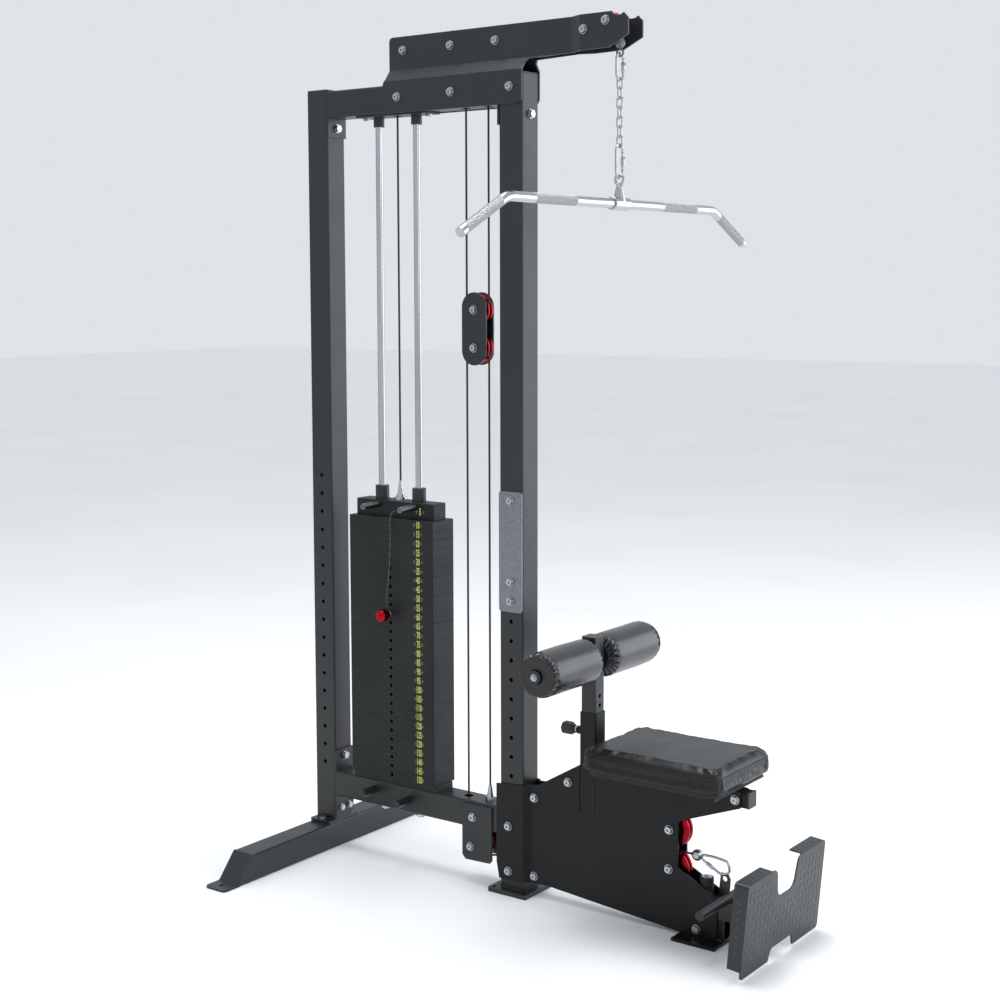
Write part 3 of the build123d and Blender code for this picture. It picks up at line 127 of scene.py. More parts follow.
# ---------------------------------------------------------------- materials
class Shade:
    """A material made of nodes, with the few steps that the recipes below share."""

    def __init__(self, name, colour, roughness, metallic=0.0):
        self.material = bpy.data.materials.new(name)
        self.material.use_nodes = True
        self.tree = self.material.node_tree
        self.shader = self.tree.nodes["Principled BSDF"]
        self.shader.inputs["Base Color"].default_value = (*colour, 1)
        self.shader.inputs["Roughness"].default_value = roughness
        self.shader.inputs["Metallic"].default_value = metallic
        self.place = self.tree.nodes.new("ShaderNodeTexCoord").outputs["Object"]
        self.colour = None
        self.height = None

    def link(self, a, b):
        self.tree.links.new(a, b)

    def math(self, operation, a, b=None):
        node = self.tree.nodes.new("ShaderNodeMath")
        node.operation = operation
        for socket, value in zip(node.inputs, (a, b)):
            if isinstance(value, (int, float)):
                socket.default_value = value
            elif value is not None:
                self.link(value, socket)
        return node.outputs[0]

    def noise(self, scale, detail=2.0, stretch=(1, 1, 1)):
        mapping = self.tree.nodes.new("ShaderNodeMapping")
        mapping.inputs["Scale"].default_value = stretch
        self.link(self.place, mapping.inputs["Vector"])
        node = self.tree.nodes.new("ShaderNodeTexNoise")
        node.inputs["Scale"].default_value = scale
        node.inputs["Detail"].default_value = detail
        self.link(mapping.outputs[0], node.inputs["Vector"])
        return node.outputs["Fac"]

    def cells(self, scale, feature="DISTANCE_TO_EDGE", stretch=(1, 1, 1)):
        mapping = self.tree.nodes.new("ShaderNodeMapping")
        mapping.inputs["Scale"].default_value = stretch
        self.link(self.place, mapping.inputs["Vector"])
        node = self.tree.nodes.new("ShaderNodeTexVoronoi")
        node.feature = feature
        node.inputs["Scale"].default_value = scale
        self.link(mapping.outputs[0], node.inputs["Vector"])
        return node.outputs["Distance"]

    def ramp(self, value, low, high, start=0.3, end=0.7):
        node = self.tree.nodes.new("ShaderNodeValToRGB")
        node.color_ramp.elements[0].position = start
        node.color_ramp.elements[1].position = end
        node.color_ramp.elements[0].color = (*low, 1)
        node.color_ramp.elements[1].color = (*high, 1)
        self.link(value, node.inputs["Fac"])
        return node.outputs["Color"]

    def mix(self, share, a, b):
        node = self.tree.nodes.new("ShaderNodeMix")
        node.data_type = "RGBA"
        self.link(share, node.inputs["Factor"])
        for socket, value in ((node.inputs["A"], a), (node.inputs["B"], b)):
            if isinstance(value, tuple):
                socket.default_value = (*value, 1)
            else:
                self.link(value, socket)
        return node.outputs["Result"]

    def paint(self, value):
        self.colour = value
        self.link(value, self.shader.inputs["Base Color"])
        return self

    def rough(self, value, low, high):
        node = self.tree.nodes.new("ShaderNodeMapRange")
        node.inputs["To Min"].default_value = low
        node.inputs["To Max"].default_value = high
        self.link(value, node.inputs["Value"])
        self.link(node.outputs[0], self.shader.inputs["Roughness"])
        return self

    def bump(self, value, strength, distance):
        node = self.tree.nodes.new("ShaderNodeBump")
        node.inputs["Strength"].default_value = strength
        node.inputs["Distance"].default_value = distance
        self.link(value, node.inputs["Height"])
        if self.height is not None:
            self.link(self.height, node.inputs["Normal"])
        self.height = node.outputs[0]
        self.link(self.height, self.shader.inputs["Normal"])
        return self

    def axis(self, name):
        node = self.tree.nodes.new("ShaderNodeSeparateXYZ")
        self.link(self.place, node.inputs[0])
        return node.outputs[name]


def edge_wear(shade, base, worn, radius, amount):
    """Rounds the edges' shading and returns a colour that turns paler along them in patches."""
    bevel = shade.tree.nodes.new("ShaderNodeBevel")
    bevel.samples = 3
    bevel.inputs["Radius"].default_value = radius
    geometry = shade.tree.nodes.new("ShaderNodeNewGeometry")
    facing = shade.tree.nodes.new("ShaderNodeVectorMath")
    facing.operation = "DOT_PRODUCT"
    shade.link(bevel.outputs[0], facing.inputs[0])
    shade.link(geometry.outputs["Normal"], facing.inputs[1])
    shade.height = bevel.outputs[0]
    turned = shade.math("MULTIPLY", shade.math("SUBTRACT", 1.0, facing.outputs["Value"]), 6.0)
    broken = shade.math("MULTIPLY", turned, shade.math("MULTIPLY", shade.noise(40.0, 4.0), amount))
    share = shade.math("MINIMUM", shade.math("MAXIMUM", broken, 0.0), 1.0)
    return shade.mix(share, base, worn)


def powder_coat(name, dark, pale, specular=0.5):
    shade = Shade(name, pale, 0.40)
    shade.shader.inputs["Specular IOR Level"].default_value = specular
    cloudy = shade.ramp(shade.noise(3.0, 3.0), dark, pale)
    shade.paint(edge_wear(shade, cloudy, (0.075, 0.08, 0.085), 0.0012, 0.8))
    shade.rough(shade.noise(14.0, 4.0), 0.32, 0.46)
    shade.bump(shade.noise(900.0, 2.0), 0.22, 0.0004)
    return shade.bump(shade.noise(90.0, 2.0), 0.07, 0.0006).material


def cast_paint():
    shade = Shade("cast_plate_paint", (0.03, 0.032, 0.036), 0.55)
    shade.shader.inputs["Specular IOR Level"].default_value = 0.3
    mottled = shade.ramp(shade.noise(9.0, 5.0), (0.006, 0.0075, 0.0080), (0.012, 0.0145, 0.0150))
    shade.paint(edge_wear(shade, mottled, (0.10, 0.10, 0.10), 0.0015, 0.9))
    shade.rough(shade.noise(22.0, 4.0), 0.42, 0.62)
    return shade.bump(shade.noise(260.0, 4.0), 0.35, 0.0005).material


def bright_metal(name, colour, roughness, streak=(1, 1, 1), grain=60.0):
    shade = Shade(name, colour, roughness, 1.0)
    darker = tuple(c * 0.82 for c in colour)
    shade.paint(shade.ramp(shade.noise(grain, 3.0, streak), darker, colour))
    shade.rough(shade.noise(grain * 2, 3.0, streak), roughness * 0.7, roughness * 1.5)
    return shade.bump(shade.noise(grain * 9, 2.0, streak), 0.05, 0.0002).material


BAR_GRIPS = ((0.208, 0.382), (0.515, 0.650))   # knurled stretches, from the bar's middle
KNURL_DENSITY = 3300.0    # radians per metre


def knurled_chrome():
    """Chrome bar stock with knurled grips in the middle bands and on the bent ends."""
    shade = Shade("bar_chrome", (0.50, 0.50, 0.51), 0.16, 1.0)
    across = shade.math("ABSOLUTE", shade.axis("X"))
    bands = []
    for start, end in BAR_GRIPS:
        past_start = shade.math("GREATER_THAN", across, start)
        before_end = shade.math("LESS_THAN", across, end)
        bands.append(shade.math("MULTIPLY", past_start, before_end))
    grip = shade.math("ADD", *bands)
    ridges = []
    for operation in ("ADD", "SUBTRACT"):
        slant = shade.math(operation, across, shade.axis("Z"))
        ridges.append(shade.math("SINE", shade.math("MULTIPLY", slant, KNURL_DENSITY)))
    diamonds = shade.math("MULTIPLY", shade.math("MAXIMUM", *ridges), grip)
    shade.paint(shade.mix(grip, (0.46, 0.46, 0.475), (0.36, 0.36, 0.37)))
    shade.rough(grip, 0.13, 0.36)
    return shade.bump(diamonds, 0.7, 0.0005).bump(shade.noise(500.0, 2.0), 0.03, 0.0002).material


def galvanised():
    shade = Shade("galvanised_sheet", (0.22, 0.23, 0.26), 0.45, 1.0)
    spangle = shade.cells(90.0, "F1")
    shade.paint(shade.ramp(spangle, (0.195, 0.205, 0.230), (0.235, 0.245, 0.272), 0.1, 0.6))
    shade.rough(shade.noise(30.0, 4.0), 0.38, 0.52)
    return shade.bump(shade.noise(220.0, 3.0, (1, 1, 0.15)), 0.06, 0.0003).material


def vinyl(name, specular, smooth, rough):
    shade = Shade(name, (0.008, 0.008, 0.0085), 0.36)
    shade.paint(shade.ramp(shade.noise(7.0, 3.0), (0.0055, 0.0055, 0.006), (0.011, 0.011, 0.012)))
    shade.shader.inputs["Specular IOR Level"].default_value = specular
    shade.rough(shade.noise(16.0, 4.0), smooth, rough)
    shade.bump(shade.cells(420.0), 0.35, 0.0006)
    return shade.bump(shade.noise(28.0, 4.0), 0.16, 0.0022).material


def rubbery(name, colour, roughness, grain):
    shade = Shade(name, colour, roughness)
    paler = tuple(c * 1.5 + 0.001 for c in colour)
    shade.paint(shade.ramp(shade.noise(18.0, 4.0), colour, paler))
    shade.rough(shade.noise(40.0, 3.0), roughness * 0.85, min(1.0, roughness * 1.15))
    return shade.bump(shade.noise(grain, 3.0), 0.22, 0.0004).material


def anodised():
    shade = Shade("red_anodised", (0.30, 0.008, 0.018), 0.24, 1.0)
    shade.paint(shade.ramp(shade.noise(60.0, 2.0), (0.24, 0.006, 0.014), (0.36, 0.010, 0.022)))
    shade.rough(shade.noise(120.0, 3.0), 0.18, 0.32)
    return shade.bump(shade.noise(900.0, 2.0, (8, 1, 1)), 0.06, 0.0002).material


KNOB_START_X = -0.0628


def knob_and_shaft():
    """Red anodised where the knob is, bright steel along the shaft."""
    shade = Shade("selector_pin", (0.5, 0.01, 0.02), 0.24, 1.0)
    red = shade.math("LESS_THAN", shade.axis("X"), KNOB_START_X)
    steel = shade.ramp(shade.noise(80.0), (0.55, 0.56, 0.57), (0.72, 0.73, 0.74))
    crimson = shade.ramp(shade.noise(80.0), (0.34, 0.007, 0.016), (0.46, 0.014, 0.026))
    shade.paint(shade.mix(red, steel, crimson))
    shade.rough(shade.noise(100.0), 0.2, 0.34)
    return shade.bump(shade.noise(700.0), 0.05, 0.0002).material


def pop_pin_finish():
    shade = Shade("pop_pin", (0.02, 0.02, 0.02), 0.4)
    steel = shade.math("LESS_THAN", shade.axis("Y"), aft(-0.1445))
    black = shade.ramp(shade.noise(60.0), (0.018, 0.018, 0.019), (0.035, 0.035, 0.037))
    bright = shade.ramp(shade.noise(60.0), (0.5, 0.5, 0.5), (0.7, 0.7, 0.7))
    shade.paint(shade.mix(steel, black, bright))
    shade.link(steel, shade.shader.inputs["Metallic"])
    return shade.bump(shade.noise(300.0), 0.15, 0.0003).material


def wire_rope(name, colour):
    """Sheathed wire rope: the strands show through as a fine slanting ripple."""
    shade = Shade(name, colour, 0.38)
    along = shade.math("MULTIPLY", shade.math("ADD", shade.axis("Z"), shade.axis("Y")), 1500.0)
    sideways = shade.math("MULTIPLY", shade.axis("X"), 900.0)
    twist = shade.math("SINE", shade.math("ADD", along, sideways))
    darker = tuple(c * 0.7 for c in colour)
    paler = tuple(c * 1.4 for c in colour)
    shade.paint(shade.ramp(shade.noise(50.0), darker, paler))
    return shade.bump(twist, 0.25, 0.0004).material


def painted_board():
    shade = Shade("painted_board", (0.03, 0.027, 0.024), 0.7)
    grain = shade.noise(30.0, 5.0, (1, 1, 14))
    shade.paint(shade.ramp(grain, (0.006, 0.0058, 0.0055), (0.016, 0.015, 0.014)))
    return shade.bump(grain, 0.3, 0.0006).material


def label_ink(name, dark, pale):
    shade = Shade(name, pale, 0.5)
    shade.paint(shade.ramp(shade.noise(300.0, 3.0), dark, pale))
    return shade.bump(shade.noise(600.0), 0.1, 0.0002).material


def pale_floor():
    shade = Shade("pale_floor", (0.93, 0.93, 0.94), 0.6)
    pale = shade.ramp(shade.noise(0.8, 2.0), (0.91, 0.915, 0.92), (0.95, 0.95, 0.955))
    return shade.paint(pale).material


FRAME_COAT = powder_coat("frame_coat", (0.009, 0.0105, 0.0115), (0.015, 0.017, 0.0185))
SATIN = bright_metal("satin_steel", (0.17, 0.175, 0.18), 0.34)
# Painted shade: a darker, less glossy copy of the frame coat for the seat's side plates, seat rail,
# post sleeve and foot stub, which stand in the seat's shade.
PAINTED_SHADE_COAT = powder_coat("painted_shade_coat", (0.0035, 0.0042, 0.0044), (0.0065, 0.0075, 0.0078), 0.24)
PLATE_PAINT = cast_paint()
CHROME = bright_metal("rod_chrome", (0.52, 0.53, 0.55), 0.18, (1, 1, 0.05))
BAR_CHROME = knurled_chrome()
ZINC = bright_metal("bright_zinc", (0.50, 0.51, 0.53), 0.28)
GALVANISED = galvanised()
SEAT_VINYL = vinyl("seat_vinyl", 0.30, 0.24, 0.38)
ROLLER_VINYL = vinyl("roller_vinyl", 0.75, 0.20, 0.30)
RUBBER = rubbery("black_rubber", (0.007, 0.007, 0.0075), 0.7, 220.0)
PLASTIC = rubbery("black_plastic", (0.007, 0.007, 0.0075), 0.42, 500.0)
RED = anodised()
# Painted highlight: the tread grains carry the foot plate's own coat, coloured paler than the frame
# coat so they read as raised grains catching the light.
TREAD_COAT = rubbery("tread_coat", (0.020, 0.0225, 0.0255), 0.34, 900.0)
CABLE = wire_rope("sheathed_cable", (0.012, 0.012, 0.013))
BOARD = painted_board()
YELLOW = label_ink("label_yellow", (0.40, 0.42, 0.07), (0.58, 0.60, 0.12))
DIM_YELLOW = label_ink("label_dim", (0.13, 0.14, 0.035), (0.20, 0.21, 0.055))
LANYARD = rubbery("lanyard_cord", (0.045, 0.046, 0.050), 0.5, 900.0)
GREY = rubbery("grey_plastic", (0.10, 0.103, 0.108), 0.30, 500.0)
FLOOR = pale_floor()
PIN_FINISH = knob_and_shaft()
POP_FINISH = pop_pin_finish()

NODE_FINISH = {
    FRAME_COAT: (
        "rear_stabilizer", "rear_upright", "front_upright", "top_beam", "lower_beam",
        "top_side_plates", "gusset_plates", "rod_bracket", "lower_band_pegs", "foot_plate",
        "foot_tube", "knee_post", "block_plates",
    ),
    # The parts under the seat take the copy of the frame coat with painted shade.
    PAINTED_SHADE_COAT: ("seat_side_plates", "seat_rail", "post_sleeve", "foot_stub"),
    PLATE_PAINT: ("weight_plates_resting", "weight_plates_lifted", "head_plate"),
    CHROME: ("guide_rods", "selector_stem"),
    BAR_CHROME: ("lat_bar",),
    ZINC: ("frame_bolts", "block_axles", "pulley_bearings", "cable_anchor", "lat_chain", "row_end"),
    SATIN: ("upper_band_pegs",),
    GALVANISED: ("accessory_plate",),
    SEAT_VINYL: ("seat_cushion",),
    ROLLER_VINYL: ("foam_roller_left", "foam_roller_right"),
    RUBBER: ("row_bumper", "stack_base"),
    PLASTIC: ("tube_end_caps", "guide_collars", "pin_lanyard"),
    GREY: ("lat_stop_ball",),
    RED: (
        "block_pulley_upper", "block_pulley_lower", "pulley_stack", "pulley_block_rear",
        "pulley_block_front", "pulley_carry", "tip_roller", "lower_pulley", "row_pulley_upper",
        "row_pulley_lower",
    ),
    CABLE: (
        "cables_fixed", "stack_cable", "block_cable_wraps", "block_cable_runs_upper",
        "block_cable_runs_lower", "lat_cable_drop", "row_cable_out",
    ),
    BOARD: ("seat_board",),
    PIN_FINISH: ("selector_pin",),
    POP_FINISH: ("pop_pin",),
}


def finish_nodes():
    """Gives each CAD node its material."""
    for material, names in NODE_FINISH.items():
        for name in names:
            for slot in NODES[name].material_slots:
                slot.material = material


# ---------------------------------------------------------------- mesh helpers
def piece(name, verts, faces, material, smooth=True):
    """A mesh object in the row frame."""
    mesh = bpy.data.meshes.new(name)
    mesh.from_pydata([tuple(v) for v in verts], [], faces)
    mesh.validate()
    mesh.polygons.foreach_set("use_smooth", [smooth] * len(mesh.polygons))
    mesh.materials.append(material)
    obj = bpy.data.objects.new(name, mesh)
    bpy.context.scene.collection.objects.link(obj)
    return obj


class Shell:
    """Vertices and faces gathered from several shapes into one mesh."""

    def __init__(self):
        self.verts = []
        self.faces = []

    def rings(self, rings, closed=False, caps=True):
        start = len(self.verts)
        count = len(rings[0])
        for ring in rings:
            self.verts.extend(ring)
        spans = len(rings) if closed else len(rings) - 1
        for i in range(spans):
            a = start + i * count
            b = start + ((i + 1) % len(rings)) * count
            for j in range(count):
                k = (j + 1) % count
                self.faces.append((a + j, a + k, b + k, b + j))
        if caps and not closed:
            self.faces.append(tuple(start + j for j in reversed(range(count))))
            last = start + (len(rings) - 1) * count
            self.faces.append(tuple(last + j for j in range(count)))

    def tube(self, points, radius, sides=12, closed=False):
        """A round bar along points; radius is a number or a function of the share travelled."""
        points = [Vector(p) for p in points]
        size = len(points)
        rings = []
        side = None
        for i, point in enumerate(points):
            before = points[i - 1] if i or closed else point
            after = points[(i + 1) % size] if i < size - 1 or closed else point
            ahead = (after - before).normalized()
            if side is None:
                side = ahead.orthogonal()
            side = (side - side.dot(ahead) * ahead).normalized()
            up = ahead.cross(side)
            r = radius(i / (size - 1)) if callable(radius) else radius
            turns = [math.tau * j / sides for j in range(sides)]
            rings.append([point + r * (math.cos(a) * side + math.sin(a) * up) for a in turns])
        self.rings(rings, closed=closed)

    def turned(self, start, axis, profile, sides=32, lobes=0, depth=0.0):
        """A turned shape along axis from start; profile holds (distance along, radius) pairs."""
        axis = Vector(axis).normalized()
        side = axis.orthogonal().normalized()
        up = axis.cross(side)
        rings = []
        for along, radius in profile:
            ring = []
            for j in range(sides):
                a = math.tau * j / sides
                r = radius * (1 - depth * (0.5 + 0.5 * math.cos(lobes * a))) if lobes else radius
                outward = math.cos(a) * side + math.sin(a) * up
                ring.append(Vector(start) + axis * along + r * outward)
            rings.append(ring)
        self.rings(rings)

    def build(self, name, material, slot, body, smooth=True):
        obj = piece(name, self.verts, self.faces, material, smooth)
        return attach(obj, body)


def arc(middle, radius, start, end, steps, across, up):
    """Points of an arc in the plane of two directions; angles in degrees."""
    points = []
    for i in range(steps + 1):
        a = math.radians(start + (end - start) * i / steps)
        outward = math.cos(a) * Vector(across) + math.sin(a) * Vector(up)
        points.append(Vector(middle) + radius * outward)
    return points


def stadium(middle, length, width, across, steps=10):
    """The centre line of a chain link that hangs along Z."""
    reach = (length - width) / 2
    top = arc(Vector(middle) + Vector((0, 0, reach)), width / 2, 0, 180, steps, across, (0, 0, 1))
    low = arc(Vector(middle) - Vector((0, 0, reach)), width / 2, 180, 360, steps, across, (0, 0, 1))
    return top + low


# ---------------------------------------------------------------- cables and the pin's lanyard
def cable_run(shell, start, end, radius=CABLE_R):
    start = Vector(start)
    end = Vector(end)
    count = max(2, int((end - start).length / 0.02))
    shell.tube([start.lerp(end, i / count) for i in range(count + 1)], radius, 16)


def bending_cable(node, runs):
    """A cable drawn as its CAD node is, as one fixed piece in the row frame."""
    shell = Shell()
    for start, end in runs:
        cable_run(shell, start, end)
    obj = piece(node + "_skin", shell.verts, shell.faces, CABLE)
    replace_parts(obj, node)
    start, end = runs[0]
    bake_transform(obj)


def make_cables():
    for node, body in (("stack_cable", "lifted_stack"), ("lat_cable_drop", "lat_end")):
        low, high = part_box(node)
        y = (low.y + high.y) / 2
        bending_cable(node, [((0, y, high.z), (0, y, low.z))])
    low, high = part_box("block_cable_runs_upper")
    sides = (low.y + CABLE_R, high.y - CABLE_R)
    runs = [((0, y, high.z), (0, y, low.z)) for y in sides]
    bending_cable("block_cable_runs_upper", runs)
    low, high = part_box("block_cable_runs_lower")
    runs = [((0, y, low.z), (0, y, high.z)) for y in sides]
    bending_cable("block_cable_runs_lower", runs)
    low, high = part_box("row_cable_out")
    z = (low.z + high.z) / 2
    bending_cable("row_cable_out", [((0, high.y, z), (0, low.y, z))])


def make_lanyard():
    """The thin cord from the head plate to the ring round the selector pin."""
    points = (
        (-0.0301, 0.437, 1.018), (-0.050, 0.437, 1.017), (-0.062, 0.436, 0.995),
        (-0.061, 0.434, 0.945), (-0.063, 0.435, 0.890), (-0.069, 0.434, 0.835),
        (-0.077, 0.437, 0.785), (-0.070, 0.442, 0.754), (-0.058, 0.445, 0.7355),
    )
    data = bpy.data.curves.new("lanyard_route", "CURVE")
    data.dimensions = "3D"
    spline = data.splines.new("NURBS")
    spline.points.add(len(points) - 1)
    for point, (x, station, z) in zip(spline.points, points):
        point.co = (x, aft(station), z, 1)
    spline.order_u = 3
    spline.use_endpoint_u = True
    route = bpy.data.objects.new("lanyard_route", data)
    bpy.context.scene.collection.objects.link(route)
    bpy.context.view_layer.update()
    line = bpy.data.meshes.new_from_object(route)
    path = [v.co.copy() for v in line.vertices]
    bpy.data.objects.remove(route)
    shell = Shell()
    shell.tube(path, LANYARD_R, 16)
    cord = piece("lanyard_cord", shell.verts, shell.faces, LANYARD)
    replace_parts(cord, "pin_lanyard")
    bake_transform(cord)
    ring = Shell()
    pin_z = middle("selector_pin").z
    ring.tube(arc((-0.058, STACK_Y, pin_z), 0.0074, 0, 350, 35, (0, 1, 0), (0, 0, 1)), 0.0013, 10)
    ring_piece = ring.build("lanyard_ring", ZINC, "zinc", "selector_pin")


# ---------------------------------------------------------------- seat and rollers
def inflate(obj, pressure, cap, voxel, held_below=-1.0, growth=0.0):
    """Swells a closed mesh by cloth simulation, each point kept within cap of where it began.

    Points lower than held_below are stapled down; growth is how much the cover stretches.
    """
    remesh = obj.modifiers.new("remesh", "REMESH")
    remesh.mode = "VOXEL"
    remesh.voxel_size = voxel
    apply_modifier(obj, "remesh")
    start = [v.co.copy() for v in obj.data.vertices]
    cloth = obj.modifiers.new("cloth", "CLOTH")
    cloth.settings.use_pressure = True
    cloth.settings.uniform_pressure_force = pressure
    cloth.settings.effector_weights.gravity = 0
    cloth.settings.tension_stiffness = 25
    cloth.settings.compression_stiffness = 25
    cloth.settings.bending_stiffness = 1.5
    cloth.settings.shrink_min = -growth
    held = obj.vertex_groups.new(name="held")
    held.add([v.index for v in obj.data.vertices if v.co.z < held_below], 1.0, "REPLACE")
    cloth.settings.vertex_group_mass = "held"
    for number in range(1, 21):
        bpy.context.scene.frame_set(number)
    apply_modifier(obj, "cloth")
    bpy.context.scene.frame_set(1)
    for vertex, place in zip(obj.data.vertices, start):
        moved = vertex.co - place
        if moved.length > cap:
            vertex.co = place + moved.normalized() * cap


def apply_modifier(obj, name):
    """Replaces the object's mesh with the evaluated one and drops the modifier."""
    bpy.context.view_layer.update()
    graph = bpy.context.evaluated_depsgraph_get()
    mesh = bpy.data.meshes.new_from_object(obj.evaluated_get(graph), depsgraph=graph)
    obj.modifiers.remove(obj.modifiers[name])
    mesh.materials.clear()
    for material in obj.data.materials:
        mesh.materials.append(material)
    obj.data = mesh


def smooth_out(obj, levels=1):
    modifier = obj.modifiers.new("subdivide", "SUBSURF")
    modifier.levels = levels
    modifier.render_levels = levels
    apply_modifier(obj, "subdivide")
    obj.data.polygons.foreach_set("use_smooth", [True] * len(obj.data.polygons))


def rounded_outline(half_x, y0, y1, corner, steps=8):
    """Points round a rounded rectangle in the XY plane."""
    points = []
    corners = (
        (half_x - corner, y1 - corner, 0), (-half_x + corner, y1 - corner, 90),
        (-half_x + corner, y0 + corner, 180), (half_x - corner, y0 + corner, 270),
    )
    for x, y, turn in corners:
        for i in range(steps + 1):
            a = math.radians(turn + 90 * i / steps)
            points.append((x + corner * math.cos(a), y + corner * math.sin(a)))
    return points


def make_seat():
    low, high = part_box("seat_cushion")
    half = (high.x - low.x) / 2
    mid_y = (low.y + high.y) / 2
    layers = []
    steps = (
        (0.000, 0.008), (0.001, 0.003), (0.006, 0.0006), (0.018, -0.0012),
        (0.038, -0.0012), (0.047, 0.0022), (0.0525, 0.0090), (0.0545, 0.0210),
    )
    for rise, inset in steps:
        outline = rounded_outline(half - inset, low.y + inset, high.y - inset, 0.036 - inset / 2)
        layers.append([Vector((x, y, low.z + rise)) for x, y in outline])
    shell = Shell()
    shell.rings(layers)
    seat = piece("seat_pad", shell.verts, shell.faces, SEAT_VINYL)
    inflate(seat, 6.0, 0.006, 0.005, low.z + 0.012, 0.02)
    for vertex in seat.data.vertices:
        place = vertex.co
        x = place.x / half
        y = (place.y - mid_y) / ((high.y - low.y) / 2)
        if place.z > low.z + 0.030:
            crown = (1 - abs(x) ** 2.6) * (1 - abs(y) ** 2.6)
            place.z += 0.0060 * crown
        crease = noise.noise(Vector((place.x * 9, place.y * 22, place.z * 14)))
        near_front = math.exp(-((place.y - low.y - 0.035) / 0.05) ** 2)
        near_rear = math.exp(-((place.y - high.y + 0.03) / 0.04) ** 2)
        side = 1.0 if place.z < high.z - 0.008 else 0.35
        place.z += 0.0015 * crease * (near_front + near_rear)
        place.x += 0.0009 * side * crease * (1 if place.x > 0 else -1)
        if place.y < low.y + 0.006 and side == 1.0:
            place.y += 0.0008 + 0.0016 * noise.noise(Vector((place.x * 30, 1.3, place.z * 26)))
    smooth_out(seat)
    for vertex in seat.data.vertices:
        vertex.co.z = min(max(vertex.co.z, low.z + 0.0002), high.z + 0.006)
    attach(seat, "frame")
    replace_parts(seat, "seat_cushion")
    seam = Shell()
    line = rounded_outline(half + 0.001, low.y - 0.001, high.y + 0.001, 0.037, 14)
    route = [seat.closest_point_on_mesh(Vector((x, y, low.z + 0.0405)))[1] for x, y in line]
    seam.tube(route, 0.0015, 8, closed=True)
    seam.build("seat_seam", SEAT_VINYL, "vinyl", "frame")


ROLLER_ROUND = 0.016      # radius of the roller's rounded ends


def roller_profile(near, far, radius):
    """Distance along and radius of a foam roller with rounded ends that fold in to the hub."""
    width = far - near
    shoulder = radius - ROLLER_ROUND
    near_end = [(0.0035, 0.016), (0.001, 0.030), (0.0, 0.040)]
    for i in range(7):
        a = math.radians(15 * i)
        along = ROLLER_ROUND * (1 - math.cos(a))
        near_end.append((along, shoulder + ROLLER_ROUND * math.sin(a)))
    barrel = []
    for share in (0.15, 0.3, 0.5, 0.7, 0.85):
        barrel.append((width * share, radius + 0.0006 * math.sin(math.pi * share)))
    far_end = [(width - along, r) for along, r in reversed(near_end)]
    return near_end + barrel + far_end


def make_roller(side):
    name = "left" if side < 0 else "right"
    body = "roller_" + name
    low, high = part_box("foam_" + body)
    y = (low.y + high.y) / 2
    z = (low.z + high.z) / 2
    inner = min(abs(low.x), abs(high.x))
    outer = max(abs(low.x), abs(high.x)) - 0.005
    radius = (high.z - low.z) / 2
    shell = Shell()
    outline = roller_profile(inner, outer, radius - 0.002)
    shell.turned((side * inner, y, z), (side, 0, 0), outline, 48)
    pad = piece("roller_pad_" + name, shell.verts, shell.faces, ROLLER_VINYL)
    inflate(pad, 3.0, 0.003, 0.005)
    smooth_out(pad)
    for vertex in pad.data.vertices:
        place = vertex.co
        across = Vector((0, place.y - y, place.z - z))
        reach = across.length
        angle = math.atan2(across.z, across.y)
        to_end = min(abs(abs(place.x) - inner), abs(outer - abs(place.x)))
        fold = math.exp(-(to_end / 0.013) ** 2)
        pleat = math.sin(24 * angle + 1.6 * math.sin(3 * angle + side) + 0.9 * math.sin(7 * angle))
        ripple = (pleat - 0.8) * fold * min(1.0, max(0.0, (reach - 0.022) / 0.02))
        sag = noise.noise(Vector((place.x * 14, math.cos(angle) * 1.4, math.sin(angle) * 1.4)))
        if reach > 0.02:
            place += across.normalized() * (0.0019 * ripple + 0.0009 * sag)
            place.x += side * 0.0030 * ripple * (1 if abs(place.x) > (inner + outer) / 2 else -1)
    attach(pad, body)
    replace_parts(pad, "foam_" + body)
    cap = Shell()
    lip = [
        (0.0, 0.0480), (0.0006, 0.0508), (0.0022, 0.0515), (0.0038, 0.0508), (0.0047, 0.0485),
        (0.0046, 0.044), (0.0041, 0.030), (0.0041, 0.0240), (0.0049, 0.0215), (0.0050, 0.0185),
        (0.0030, 0.0175),
    ]
    cap.turned((side * outer, y, z), (side, 0, 0), lip, 72)
    cap.build("roller_cap_" + name, PLASTIC, "plastic", body)
    hub = Shell()
    dish = [(0, 0.034), (0.0030, 0.0335), (0.0036, 0.031), (0.0030, 0.0145)]
    hub.turned((side * (inner + 0.002), y, z), (-side, 0, 0), dish, 48)
    hub.build("roller_hub_" + name, PLASTIC, "plastic", body)
    bolt = Shell()
    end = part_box("knee_post")[1].x
    washer = [(0, 0.0092), (0.0014, 0.0092), (0.0016, 0.0080)]
    head = [(0, 0.0076), (0.0042, 0.0076), (0.0050, 0.0066)]
    tip = [(0, 0.0050), (0.0010, 0.0048), (0.0014, 0.0040)]
    for rise, profile, sides in ((-0.0004, washer, 36), (0.0012, head, 6), (0.0064, tip, 28)):
        bolt.turned((side * (end + rise), y, z), (side, 0, 0), profile, sides)
    bolt.build("roller_bolt_" + name, ZINC, "zinc", "knee_pad", smooth=False)


# ---------------------------------------------------------------- weight stack labels
NARROWING = 0.5           # how much narrower a plate's number is than the font's
LABEL_STATION = 0.345
HEAD_LABEL_STATION = 0.336
HEAD_LABEL_RISE = 0.012
LARGE_NUMBER = 0.0265     # height of the type
SMALL_NUMBER = 0.0120
SIDE_STEP = 0.0125        # from the large number to the small one on each side


